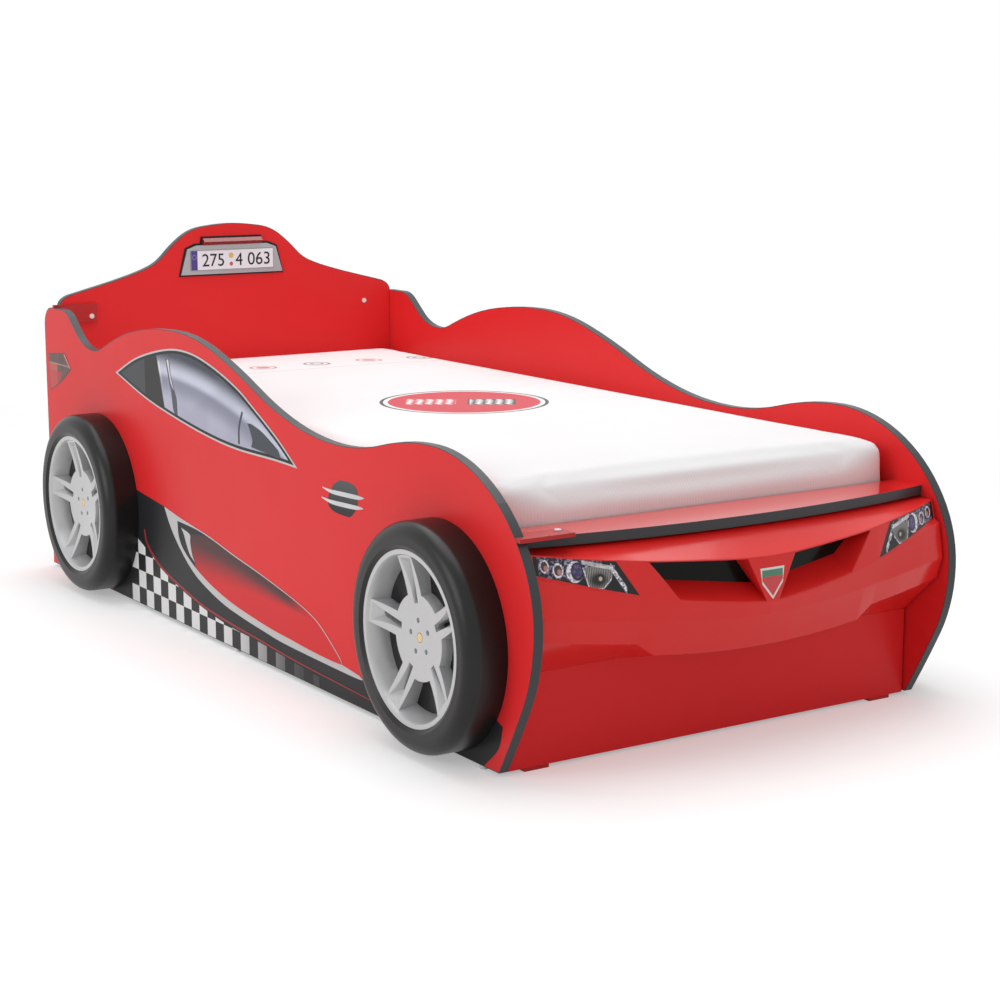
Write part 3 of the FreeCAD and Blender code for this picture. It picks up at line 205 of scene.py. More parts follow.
red_film = plain("red_film", RED, 0.34, 220.0, 0.0001, 0.10, 0.03, spec=0.14)
red_plastic = plain("red_plastic", MOULDED_RED, 0.22, 90.0, 0.00012, 0.12, 0.03,
                    spec=0.22, coat=0.10, coat_rough=0.06)
hood_film = plain("hood_film", MOULDED_RED, 0.20, 60.0, 0.0001, 0.08, 0.03,
                  spec=0.4, coat=0.9, coat_rough=0.05)
hook_plastic = plain("hook_plastic", (0.46, 0.014, 0.014), 0.28, 160.0, 0.0001, 0.2, spec=0.25, coat=0.1)
edge_band = plain("edge_band", (0.042, 0.047, 0.052), 0.38, 500.0, 0.0001, 0.3, spec=0.3)
white_film = plain("white_film", (0.80, 0.79, 0.77), 0.42, 260.0)
tyre_plastic = plain("tyre_plastic", (0.0065, 0.0065, 0.0060), 0.33, 700.0, 0.0002, 0.5, 0.10, spec=0.34)
rim_lacquer = plain("rim_lacquer", (0.53, 0.535, 0.54), 0.34, 900.0, 0.0001, 0.25, 0.04,
                    metal=0.25, coat=0.3, coat_rough=0.2)
gloss_black = plain("gloss_black", (0.004, 0.006, 0.004), 0.16, 40.0, 0.0003, 0.2, spec=0.12)
steel = plain("steel", (0.56, 0.56, 0.57), 0.30, 800.0, 0.0001, 0.3, metal=1.0)
brass = plain("brass", (0.72, 0.54, 0.26), 0.28, 800.0, 0.0001, 0.3, metal=1.0)
nylon = plain("nylon", (0.10, 0.10, 0.105), 0.5, 600.0, 0.0001, 0.4)
cap_plastic = plain("cap_plastic", (0.75, 0.75, 0.75), 0.4, 600.0)
frame_silver = plain("frame_silver", (0.42, 0.43, 0.44), 0.32, 700.0, 0.0001, 0.3, metal=0.6)
lamp_lens = plain("lamp_lens", (0.24, 0.012, 0.012), 0.16, 400.0, 0.0002, 0.4, coat=0.6)


def wood():
    """Pine with its grain along the slats."""
    m = Mat("pine", 0.55)
    rings = m.nodes.new("ShaderNodeTexWave")
    rings.bands_direction = "Y"
    rings.inputs["Scale"].default_value = 30.0
    rings.inputs["Distortion"].default_value = 6.0
    rings.inputs["Detail"].default_value = 3.0
    stretched = m.vector(m.times(m.x, 0.12), m.y, m.z)
    m.links.new(stretched, rings.inputs["Vector"])
    m.color(m.mix(rings.outputs["Fac"], (0.58, 0.40, 0.22), (0.72, 0.54, 0.33)))
    return m.wear(0.08).bump(rings.outputs["Fac"], 0.0002, 0.3)


pine = wood()


SMALL_LAMPS = ((0.4315, 0.3722, 0.0074, 0.0104), (0.4090, 0.3642, 0.0086, 0.0116))
LAMP_FOOT = 0.246       # rise of the headlight's lower edge, outward
BOWL_SIDE = 0.978       # lean of the reflector's inner side
FLUTES = 2100.0         # radians per metre


def headlight_print():
    """Printed lamps behind a clear lens: two small, one large, a fluted reflector."""
    m = Mat("headlight_print", 0.14, spec=0.2, coat=0.15, coat_rough=0.04)
    out = m.size(m.x)
    dark = (0.014, 0.015, 0.016)
    white = m.mix(m.step(m.noise(260.0, 1.0), 0.36, 0.56), (0.34, 0.31, 0.40), (0.84, 0.82, 0.88))
    violet = m.mix(m.step(m.noise(210.0, 2.0), 0.40, 0.62), (0.060, 0.045, 0.120), (0.150, 0.120, 0.260))
    haze = m.mix(m.step(m.noise(170.0, 3.0, 0.7), 0.47, 0.66), (0.026, 0.022, 0.040), (0.50, 0.46, 0.62))

    def within(low, high, value, soft=0.0015):
        return m.times(m.step(value, low - soft, low + soft), m.step(value, high + soft, high - soft))

    body = m.times(within(0.334, 0.442, out), m.step(m.z, 0.346, 0.354))
    color = m.mix(m.times(body, 0.75), dark, haze)
    for cx, cz, half_x, half_z in SMALL_LAMPS:
        ring = m.oval(out, cx, cz, half_x, half_z)
        color = m.mix(m.step(ring, 1.10, 1.00), color, white)
        color = m.mix(m.step(ring, 0.80, 0.72), color, (0.070, 0.045, 0.050))
        glow = m.oval(out, cx - 0.002, cz - 0.003, half_x * 0.55, half_z * 0.55)
        color = m.mix(m.step(glow, 1.1, 0.4), color, (0.50, 0.25, 0.20))
    moon = m.oval(out, 0.3805, 0.3598, 0.0150, 0.0178)
    color = m.mix(m.step(moon, 1.04, 0.96), color, white)
    eye = m.oval(out, 0.3760, 0.3605, 0.0115, 0.0150)
    color = m.mix(m.step(eye, 1.06, 0.96), color, (0.030, 0.028, 0.045))
    pupil = m.oval(out, 0.3770, 0.3610, 0.0088, 0.0120)
    color = m.mix(m.step(pupil, 1.04, 0.85), color, violet)

    outward = m.minus(out, m.times(m.z, LAMP_FOOT))
    inward = m.plus(out, m.times(m.z, BOWL_SIDE))
    upper = m.step(m.plus(out, m.times(m.z, 0.32)), 0.4276, 0.4286)
    upper = m.times(upper, m.step(m.z, 0.3665, 0.3650))

    def bowl(wall):
        left = m.step(outward, 0.2779 - wall, 0.2769 - wall)
        right = m.step(inward, 0.6526 + 1.4 * wall, 0.6538 + 1.4 * wall)
        foot = m.step(m.z, 0.3276 + wall, 0.3288 + wall)
        return m.times(m.times(left, right), m.times(foot, upper))

    cup = m.oval(out, 0.3410, 0.3440, 0.0245, 0.0180)
    flutes = m.plus(m.times(m.calc("SINE", m.times(out, FLUTES)), 0.5), 0.5)
    metal = m.mix(m.times(flutes, m.step(cup, 0.3, 0.9)), (0.024, 0.026, 0.024), (0.40, 0.38, 0.36))
    color = m.mix(bowl(0.0), color, white)
    color = m.mix(bowl(0.0020), color, metal)
    socket = m.oval(out, 0.3380, 0.3460, 0.0075, 0.0075)
    color = m.mix(m.step(socket, 1.1, 0.9), color, (0.030, 0.026, 0.022))
    bulb = m.oval(out, 0.3375, 0.3455, 0.0035, 0.0040)
    color = m.mix(m.step(bulb, 1.1, 0.7), color, (0.55, 0.50, 0.40))

    brow = m.minus(m.z, m.plus(m.times(m.minus(out, 0.3150), LAMP_FOOT), 0.3616))
    brow = m.times(m.step(m.size(brow), 0.0042, 0.0026), within(0.3165, 0.3680, out))
    color = m.mix(m.times(brow, m.noise(150.0, 2.0)), color, (1.0, 0.98, 1.0))
    flare = m.minus(m.z, m.plus(m.times(m.minus(out, 0.3060), 1.6), 0.3445))
    flare = m.times(m.step(m.size(flare), 0.0078, 0.0050), within(0.2925, 0.3185, out))
    color = m.mix(m.times(flare, m.step(m.noise(230.0, 1.0), 0.32, 0.48)), color, white)
    return m.color(color).wear(0.03).grain(200.0, 0.00005, 0.1)


PLATE_X, PLATE_Z = 0.113, 0.737     # half width and middle height of the plate's face


def plate_print():
    """White plate with a blue field at its left end, a thin grey edge, two dots."""
    m = Mat("plate_print", 0.35, coat=0.2)
    color = m.mix(m.step(m.x, -0.0955, -0.0965), (0.82, 0.80, 0.83), (0.050, 0.036, 0.220))
    ring = m.size(m.minus(m.oval(m.x, -0.1045, 0.7450, 0.0052, 0.0052), 1.0))
    color = m.mix(m.times(m.step(ring, 0.22, 0.12), 0.5), color, (0.35, 0.33, 0.60))
    for cz, half_x, half_z, tint in ((0.7470, 0.0068, 0.0068, (0.66, 0.46, 0.13)),
                                     (0.7260, 0.0048, 0.0052, (0.50, 0.10, 0.14))):
        dot = m.oval(m.x, -0.0040, cz, half_x, half_z)
        color = m.mix(m.step(dot, 1.06, 0.94), color, tint)
    edge_x = m.step(m.size(m.x), PLATE_X - 0.0008, PLATE_X)
    edge_z = m.step(m.size(m.minus(m.z, PLATE_Z)), 0.0232, 0.0240)
    color = m.mix(m.calc("MAXIMUM", edge_x, edge_z), color, (0.24, 0.24, 0.26))
    return m.color(color).wear(0.03).grain(300.0, 0.00005, 0.1)


SHIELD_FOOT, SHIELD_LEAN = 0.276, 0.81


def badge_print():
    """A plain shield: silver rim, red field under a green band."""
    m = Mat("badge_print", 0.22, coat=0.4)
    out = m.size(m.x)
    slope = m.minus(m.times(m.minus(m.z, SHIELD_FOOT), SHIELD_LEAN), out)
    field = m.times(m.step(slope, 0.0040, 0.0046), m.step(m.z, 0.3285, 0.3275))
    field = m.times(field, m.step(out, 0.0236, 0.0228))
    inner = m.mix(m.step(m.z, 0.3160, 0.3168), (0.62, 0.020, 0.026), (0.040, 0.200, 0.110))
    color = m.mix(field, (0.76, 0.74, 0.70), inner)
    return m.color(color).wear(0.03).grain(300.0, 0.00005, 0.1)


PRINT_X, PRINT_Y = 0.017, -0.046    # middle of the round print on the mattress
PRINT_WHITE = (0.85, 0.84, 0.84)
SEAM_Y = 0.634
MARKS_Y = 0.715
FIRST_MARK, MARK_STEP, MARKS = -0.360, 0.145, 6
RIB_PITCH = 1000.0                  # radians per metre


def mattress_material():
    """White knitted cover: fine ribs, a dotted seam, a round print, small prints."""
    m = Mat("mattress_cover", 0.85, sheen=0.25)
    white = m.mix(m.noise(5.0), (0.80, 0.79, 0.80), (0.86, 0.85, 0.86))
    top = m.step(m.z, 0.478, 0.481)
    here = m.ring(PRINT_X, PRINT_Y)
    dx, dy = m.minus(m.x, PRINT_X), m.minus(m.y, PRINT_Y)
    along = m.minus(m.times(dx, 0.84), m.times(dy, 0.54))
    across = m.plus(m.times(dx, 0.54), m.times(dy, 0.84))
    check = m.nodes.new("ShaderNodeTexChecker")
    check.inputs["Scale"].default_value = 1.0
    leaning = m.plus(along, m.times(across, 0.5))
    m.links.new(m.vector(m.over(leaning, 0.0105), m.over(across, 0.0190), 0.5), check.inputs["Vector"])

    def flag(low, high, half):
        ends = m.times(m.step(along, low - 0.001, low), m.step(along, high + 0.001, high))
        return m.times(ends, m.step(m.size(across), half + 0.001, half))

    pale_checks = m.times(flag(-0.122, -0.018, 0.038), check.outputs["Fac"])
    disc = m.mix(pale_checks, (0.60, 0.020, 0.040), PRINT_WHITE)
    disc = m.mix(flag(0.008, 0.108, 0.042), disc, (0.050, 0.045, 0.050))
    disc = m.mix(m.times(flag(0.012, 0.104, 0.038), check.outputs["Fac"]), disc, PRINT_WHITE)
    color = white
    for radius, tint in ((0.1785, (0.045, 0.045, 0.050)), (0.171, PRINT_WHITE), (0.161, disc)):
        color = m.mix(m.times(m.step(here, radius + 0.001, radius), top), color, tint)
    for place in range(MARKS):
        spot = m.ring(FIRST_MARK + MARK_STEP * place, MARKS_Y)
        ringed = m.times(m.step(spot, 0.034, 0.033), m.step(spot, 0.026, 0.027))
        if place % 2 == 0:
            tint, heart = RED, m.step(spot, 0.018, 0.017)
        else:
            tint, heart = DARK, m.step(m.size(m.minus(spot, 0.014)), 0.004, 0.003)
        mark = m.times(m.calc("MAXIMUM", ringed, heart), top)
        color = m.mix(m.times(mark, 0.75), color, tuple(0.6 * c + 0.05 for c in tint))
    dots = m.calc("GREATER_THAN", m.calc("SINE", m.times(m.x, 900.0)), 0.0)
    from_seam = m.size(m.minus(m.y, SEAM_Y))
    seam = m.times(m.times(m.step(from_seam, 0.0022, 0.0016), dots), top)
    m.color(m.mix(seam, color, (0.22, 0.22, 0.24)))
    ribs = m.calc("SINE", m.times(m.plus(m.x, m.times(m.y, 0.35)), RIB_PITCH))
    weave = m.plus(m.times(ribs, 0.14), m.noise(420.0, 4.0, 0.7))
    creases = m.times(m.noise(9.0, 2.0, 0.4), 3.0)
    groove = m.times(m.step(from_seam, 0.006, 0.0), -4.0)
    height = m.plus(m.plus(weave, creases), groove)
    return m.wear(0.05).bump(height, 0.0007, 0.5)


# ------------------------------------------------------------- piece helpers
def mesh_object(name, bm, material, body, smooth=True):
    """A new piece from a mesh; it rides its body when one is given."""
    mesh = bpy.data.meshes.new(name)
    bm.to_mesh(mesh)
    bm.free()
    obj = bpy.data.objects.new(name, mesh)
    bpy.context.scene.collection.objects.link(obj)
    mesh.materials.append(material.mat)
    for face in mesh.polygons:
        face.use_smooth = smooth
    if body:
        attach(obj, body)
    return obj


def run(points, steps=8):
    """A smooth run through points: a Catmull-Rom curve, ends included."""
    pts = [Vector(p) for p in points]
    if len(pts) < 3:
        return pts
    ghost = [pts[0] * 2 - pts[1]] + pts + [pts[-1] * 2 - pts[-2]]
    out = []
    for a, b, c, d in zip(ghost, ghost[1:], ghost[2:], ghost[3:]):
        for k in range(steps):
            t = k / steps
            bend, twist = 2 * a - 5 * b + 4 * c - d, 3 * b - a - 3 * c + d
            out.append(0.5 * (2 * b + (c - a) * t + bend * t * t + twist * t ** 3))
    return out + [pts[-1]]


def loop(*runs):
    """A closed outline of smooth runs that meet at corners."""
    out = []
    for part in runs:
        for p in run(part):
            if not out or (p - out[-1]).length > SAME:
                out.append(p)
    if (out[0] - out[-1]).length < SAME:
        out.pop()
    return out


def gap_to(point, a, b):
    """Distance from a point to the straight edge between two others."""
    way = b - a
    share = max(0.0, min(1.0, (point - a).dot(way) / max(1e-12, way.dot(way))))
    return (point - a - way * share).length


def inset(points, distance):
    """The outline drawn in by a distance, without the points that a narrow tip has no room for."""
    edges = list(zip(points, points[1:] + points[:1]))
    sign = 1 if sum(a.x * b.y - b.x * a.y for a, b in edges) > 0 else -1
    out = []
    for (a, b), (_, c) in zip(edges[-1:] + edges[:-1], edges):
        first, way = (b - a).normalized(), (b - a).normalized() + (c - b).normalized()
        normal = Vector((-way.y, way.x)).normalized() * sign
        across = Vector((-first.y, first.x)) * sign
        moved = b + normal * (distance / max(0.2, normal.dot(across)))
        if min(gap_to(moved, *edge) for edge in edges) > 0.97 * distance:
            out.append(moved)
    return out


def thicken(bm, face, shift):
    """Makes a flat face solid by a shift."""
    grown = bmesh.ops.extrude_face_region(bm, geom=[face])
    moved = [v for v in grown["geom"] if isinstance(v, bmesh.types.BMVert)]
    bmesh.ops.translate(bm, verts=moved, vec=shift)
    bmesh.ops.recalc_face_normals(bm, faces=bm.faces)


def decal(name, outline, layer, material, side):
    """A thin print over a side panel's outer face, a little less than its layer; outline in (y, z)."""
    bm = bmesh.new()
    x = side * (PANEL + FILM * layer)
    face = bm.faces.new([bm.verts.new((x, p[0], p[1])) for p in outline])
    thicken(bm, face, (side * FILM * 0.8, 0, 0))
    mesh_object(name, bm, material, BED, smooth=False)


def stripe(points, width, taper=0.0):
    """An outline along a run, of a given width, narrowing to its end."""
    line = run(points, 10)
    left, right = [], []
    for i, p in enumerate(line):
        a, b = line[max(0, i - 1)], line[min(len(line) - 1, i + 1)]
        way = (b - a).normalized()
        share = i / (len(line) - 1)
        half = width / 2 * (1 - taper * share)
        normal = Vector((-way.y, way.x)) * half
        left.append(p + normal)
        right.append(p - normal)
    return left + right[::-1]


def upright(name, outline, y, depth, material, body, edge):
    """An (x, z) outline made thick along -Y, with softened edges."""
    bm = bmesh.new()
    face = bm.faces.new([bm.verts.new((p[0], 0, p[1])) for p in outline])
    thicken(bm, face, (0, -depth, 0))
    bmesh.ops.translate(bm, verts=bm.verts, vec=(0, y, 0))
    obj = mesh_object(name, bm, material, None, smooth=False)
    bevel = obj.modifiers.new("soft_edge", "BEVEL")
    bevel.width = edge
    bevel.segments = 2
    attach(obj, body)


# ------------------------------------------------------- CAD node materials
def soften(node, width, angle, segments=2):
    """Real edges catch the light: weld the node's seams, round its edges."""
    obj = NODES[node]
    weld = obj.modifiers.new("weld", "WELD")
    weld.merge_threshold = 0.00001
    bevel = obj.modifiers.new("soft_edge", "BEVEL")
    bevel.width = width
    bevel.segments = segments
    bevel.limit_method = "ANGLE"
    bevel.angle_limit = math.radians(angle)
    bevel.harden_normals = True
    bevel.use_clamp_overlap = True


def coat(node, material):
    """Gives a CAD node its material."""
    for place in NODES[node].material_slots:
        place.material = material.mat


WHEELS = [f"{end}_{side}" for end in ("front", "rear") for side in ("left", "right")]
LOOKS = {
    red_film: ["side_panel_left", "side_panel_right", "headboard", "trundle_front_board"],
    hood_film: ["hood_board"],
    edge_band: ["side_edging_left", "side_edging_right", "headboard_edging", "hood_edging"],
    white_film: ["front_stretcher", "trundle_base", "trundle_side_left", "trundle_side_right",
                 "trundle_back"],
    pine: ["slat_ledger_left", "slat_ledger_right", "bed_slats", "wood_dowels"],
    tyre_plastic: [f"tyre_{wheel}" for wheel in WHEELS],
    rim_lacquer: [f"rim_{wheel}" for wheel in WHEELS],
    brass: ["wheel_screws"],
    steel: ["wheel_nuts", "bumper_screws", "castor_forks", "castor_axles"],
    hook_plastic: ["front_hook", "rear_hook", "front_feet"],
    cap_plastic: ["screw_caps", "panel_glides"],
    frame_silver: ["plate_frame"],
    lamp_lens: ["plate_lamp"],
    nylon: ["guide_blocks"] + [f"castor_{wheel}" for wheel in WHEELS],
    red_plastic: ["bumper"],
    gloss_black: ["grille_left", "grille_right"],
    headlight_print(): ["headlight_left", "headlight_right"],
    plate_print(): ["number_plate"],
    badge_print(): ["badge"],
}
for look, names in LOOKS.items():
    for name in names:
        coat(name, look)
for name in LOOKS[rim_lacquer]:
    soften(name, 0.0022, 28.0, 3)
for name in LOOKS[red_film] + LOOKS[hood_film]:
    soften(name, 0.0006, 40.0)
red_plastic.rounded(0.004)


# ------------------------------------------------------------------ mattress
CROWN = 0.010
TURN_TOP, TURN_FOOT = 0.022, 0.016      # radius of the mattress's edges
CUTS = ((1, 92), (0, 44), (2, 6))       # axis and cuts along it
CORNER_X, CORNER_Y = 0.86, 0.93         # where a corner begins, as a share of the half length
CORNER_PULL = 0.4                       # how much the corners draw in


def mattress():
    """The mattress: rounded edges, a crown on top, a cover pulled by air."""
    low, high = (Vector(v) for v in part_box("mattress"))
    middle = (low + high) / 2
    half = (high - low) / 2
    half.z -= CROWN / 2
    seat = Vector((middle.x, middle.y, middle.z - CROWN / 2))
    bm = bmesh.new()
    bmesh.ops.create_cube(bm, size=2.0)
    for vert in bm.verts:
        vert.co = Vector((vert.co.x * half.x, vert.co.y * half.y, vert.co.z * half.z))
    for axis, cuts in CUTS:
        along = [e for e in bm.edges if abs(e.verts[0].co[axis] - e.verts[1].co[axis]) > 0.1]
        bmesh.ops.subdivide_edges(bm, edges=along, cuts=cuts, use_grid_fill=True)
    for vert in bm.verts:
        p = vert.co.copy()
        turn = TURN_TOP if p.z > 0 else TURN_FOOT
        core = Vector([max(turn - half[k], min(half[k] - turn, p[k])) for k in range(3)])
        out = p - core
        if out.length > 1e-6:
            out = out.normalized() * turn
        p = core + out
        u, v = p.x / half.x, p.y / half.y
        if p.z > 0:
            p.z += CROWN * (1 - u * u) * (1 - v ** 4)
        corner = max(0.0, abs(u) - CORNER_X) * max(0.0, abs(v) - CORNER_Y)
        p.x -= math.copysign(corner * CORNER_PULL, p.x)
        p.y -= math.copysign(corner * CORNER_PULL, p.y)
        vert.co = p + seat
    pad = mesh_object("mattress_pad", bm, mattress_material(), None)
    puff(pad, low, high)
    smooth = pad.modifiers.new("subdivision", "SUBSURF")
    smooth.levels = smooth.render_levels = 1
    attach(pad, BED)
    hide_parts("mattress")


VOXEL, PRESSURE, MOST_PUFF = 0.013, 1.2, 0.008
PUFF_FRAMES = 12


def puff(obj, low, high):
    """Fills a pad with air for a moment, so that its cover pulls as cloth does."""
    middle = (low + high) / 2
    for vert in obj.data.vertices:
        vert.co = middle + (vert.co - middle) * 0.996
    remesh = obj.modifiers.new("remesh", "REMESH")
    remesh.mode = "VOXEL"
    remesh.voxel_size = VOXEL
    remesh.use_smooth_shade = True
    bpy.context.view_layer.objects.active = obj
    obj.select_set(True)
    bpy.ops.object.modifier_apply(modifier="remesh")
    start = [v.co.copy() for v in obj.data.vertices]
    cloth = obj.modifiers.new("cloth", "CLOTH")
    cloth.settings.quality = 4
    cloth.settings.mass = 0.3
    cloth.settings.tension_stiffness = 12
    cloth.settings.compression_stiffness = 12
    cloth.settings.use_pressure = True
    cloth.settings.uniform_pressure_force = PRESSURE
    cloth.settings.effector_weights.gravity = 0
    cloth.collision_settings.use_collision = False
    scene = bpy.context.scene
    for number in range(1, PUFF_FRAMES + 1):
        scene.frame_set(number)
    settled = obj.evaluated_get(bpy.context.evaluated_depsgraph_get())
    ends = [v.co.copy() for v in settled.data.vertices]
    obj.modifiers.remove(cloth)
    scene.frame_set(1)
    for vert, a, b in zip(obj.data.vertices, start, ends):
        move = b - a
        if move.length > MOST_PUFF:
            move = move.normalized() * MOST_PUFF
        p = a + move
        for axis, under in enumerate((0.002, 0.002, 0.0)):
            p[axis] = max(low[axis] - under, min(high[axis] + 0.004, p[axis]))
        vert.co = p


mattress()


# ------------------------------------------------------ print on the panels
def arch(m, bend, slope, height):
    """Height of a printed arch over a place along the panel."""
    return m.plus(m.plus(m.times(m.y, slope), m.times(m.times(m.y, m.y), bend)), height)


QUARTER = 0.4828        # rear end of the window's sky


def glass():
    """Printed side window: a dark tail quarter, then a sky that pales to its horizon."""
    m = Mat("window_print", 0.26, spec=0.15)
    above = m.minus(m.z, arch(m, -0.33, 0.26, 0.502))
    sky = m.mix(m.step(above, 0.002, 0.040), (0.60, 0.62, 0.74), (0.050, 0.058, 0.082))
    ground = m.mix(m.step(above, -0.020, -0.062), (0.27, 0.28, 0.37), (0.48, 0.48, 0.60))
    color = m.mix(m.step(above, 0.000, -0.016), sky, ground)
    shade = m.step(m.noise(7.0, 1.0), 0.42, 0.62)
    color = m.mix(m.times(shade, 0.25), color, (0.20, 0.21, 0.27))
    post = m.plus(m.times(m.minus(m.z, 0.473), 0.33), 0.383)
    color = m.mix(m.step(m.minus(m.y, post), -0.0006, 0.0010), color, (0.018, 0.018, 0.019))
    color = m.mix(m.step(m.y, QUARTER, QUARTER + 0.0022), color, (0.052, 0.055, 0.058))
    return m.color(color).wear(0.03).grain(300.0, 0.00005, 0.1)


SILL_FOOT = 0.0095
CHECKS_REAR, CHECKS_FRONT, CHECKS_FOOT = 0.5895, -0.300, 0.0090
CHECK_LONG, CHECK_TALL = 0.0393, 0.0385


def sill_print():
    """Black sill with a chequered corner that fades out towards the nose."""
    m = Mat("sill_print", 0.34, spec=0.14)
    check = m.nodes.new("ShaderNodeTexChecker")
    check.inputs["Scale"].default_value = 1.0
    column = m.over(m.minus(m.y, CHECKS_REAR), CHECK_LONG)
    row = m.over(m.minus(m.z, CHECKS_FOOT), CHECK_TALL)
    m.links.new(m.vector(column, row, 0.5), check.inputs["Vector"])
    light = m.mix(m.step(m.y, 0.16, -0.24), (0.80, 0.80, 0.80), (0.055, 0.056, 0.058))
    color = m.mix(check.outputs["Fac"], (0.022, 0.023, 0.024), light)
    return m.color(color).wear(0.03).grain(300.0, 0.00005, 0.1)


def scoop_print():
    """A red hollow, dark under its upper edge."""
    m = Mat("scoop_print", 0.34, spec=0.14)
    depth = m.calc("MAXIMUM", m.plus(m.times(m.y, 0.115), 0.036), 0.003)
    under = m.over(m.minus(arch(m, -0.1464, 0.1573, 0.1962), m.z), depth)
    dark = m.times(m.step(under, 1.75, 0.25), m.step(m.y, -0.28, -0.16))
    color = m.mix(dark, (0.68, 0.020, 0.024), (0.080, 0.032, 0.032))
    return m.color(color).wear(0.03).grain(300.0, 0.00005, 0.1)


def vent_print():
    """A dark opening, greyer towards its top."""
    m = Mat("vent_print", 0.35, spec=0.14)
    color = m.mix(m.step(m.z, 0.350, 0.440), (0.012, 0.012, 0.013), (0.090, 0.093, 0.098))
    return m.color(color).wear(0.03).grain(300.0, 0.00005, 0.1)


def chrome_print():
    """Printed bright metal in light and dark stretches."""
    m = Mat("chrome_print", 0.34, metal=0.3, spec=0.2)
    m.color(m.mix(m.noise(14.0, 2.0), (0.40, 0.41, 0.42), (0.78, 0.78, 0.79)))
    return m.wear(0.05).grain(400.0, 0.00005, 0.1)


TAIL_SPLIT = 0.5065


def tail_print():
    """Printed tail light: dark facets round a salmon lens, split by a pale line."""
    m = Mat("tail_light_print", 0.3, spec=0.2)
    streaks = m.noise(60.0, 2.0, 0.4, m.vector(m.x, m.y, m.times(m.z, 0.25)))
    dark = m.mix(streaks, (0.070, 0.038, 0.034), (0.190, 0.095, 0.080))
    lens = m.times(m.step(m.y, 0.9950, 1.0010), m.step(m.z, 0.5080, 0.5040))
    color = m.mix(lens, dark, m.mix(streaks, (0.62, 0.120, 0.090), (0.40, 0.060, 0.050)))
    slant = m.plus(m.y, m.times(m.minus(m.z, 0.470), 0.9))
    wedge = m.times(m.step(slant, 0.980, 0.985), m.step(m.z, 0.4900, 0.4870))
    color = m.mix(m.times(wedge, 0.6), color, (0.55, 0.030, 0.030))
    split = m.step(m.size(m.minus(m.z, TAIL_SPLIT)), 0.0022, 0.0012)
    color = m.mix(m.times(split, 0.55), color, (0.52, 0.34, 0.32))
    return m.color(color).wear(0.03).bump(streaks, 0.0002, 0.2)


window_glass = glass()
sill_look = sill_print()
scoop_look = scoop_print()
vent_look = vent_print()
chrome_look = chrome_print()
tail_look = tail_print()
silver_print = plain("silver_print", (0.56, 0.56, 0.56), **INK)
pale_print = plain("pale_print", (0.72, 0.72, 0.76), **INK)
rose_print = plain("rose_print", (0.78, 0.32, 0.28), **INK)
seat_print = plain("seat_print", (0.100, 0.095, 0.115), **INK)
mirror_print = plain("mirror_print", (0.060, 0.068, 0.080), **INK)
dark_print = plain("dark_print", (0.019, 0.020, 0.022), **INK)
red_print = plain("red_print", (0.32, 0.034, 0.035), **INK)

# Outlines of the prints on a side panel: (y, z) on its outer face, in metres.
WINDOW_REAR, WINDOW_FRONT = (0.6474, 0.5228), (-0.2246, 0.4276)
WINDOW = [
    [WINDOW_REAR, (0.5238, 0.5696), (0.3696, 0.602), (0.2578, 0.6063), (0.1504, 0.5898), (0.0343, 0.5571),
     (-0.0485, 0.5211), (-0.1429, 0.4758), WINDOW_FRONT],
    [WINDOW_FRONT, (-0.1264, 0.4294), (0.0411, 0.4287), (0.1904, 0.4391), (0.363, 0.4614), (0.4953, 0.4845),
     WINDOW_REAR],
]
GLARE = [
    [(0.4080, 0.5750), (0.4000, 0.5560), (0.3940, 0.5300), (0.3860, 0.4850)],
    [(0.3860, 0.4850), (0.3925, 0.5200), (0.4000, 0.5420), (0.4110, 0.5650), (0.4080, 0.5750)],
]
SEAT_BELT = [
    [(0.3720, 0.5800), (0.3554, 0.5800), (0.3473, 0.5485), (0.3294, 0.5139), (0.3203, 0.4977),
     (0.3177, 0.4640)],
    [(0.3177, 0.4640), (0.3374, 0.4720), (0.3480, 0.5122), (0.3620, 0.5471), (0.3720, 0.5800)],
]
SEAT_GLARE = [
    [(0.3660, 0.5780), (0.3575, 0.5790), (0.3500, 0.5485), (0.3340, 0.5160)],
    [(0.3340, 0.5160), (0.3470, 0.5300), (0.3570, 0.5520), (0.3660, 0.5780)],
]
DOOR_MIRROR = [
    [(-0.0112, 0.4890), (-0.0334, 0.4895), (-0.0769, 0.4800), (-0.1191, 0.4640), (-0.1470, 0.4520)],
    [(-0.1470, 0.4520), (-0.1518, 0.4375), (-0.1100, 0.4390), (-0.0290, 0.4432)],
    [(-0.0290, 0.4432), (-0.0341, 0.4583), (-0.0197, 0.4827), (-0.0112, 0.4890)],
]
QUARTER_POST = [(0.0079, 0.5096), (0.0240, 0.4760), (0.0262, 0.4420)]

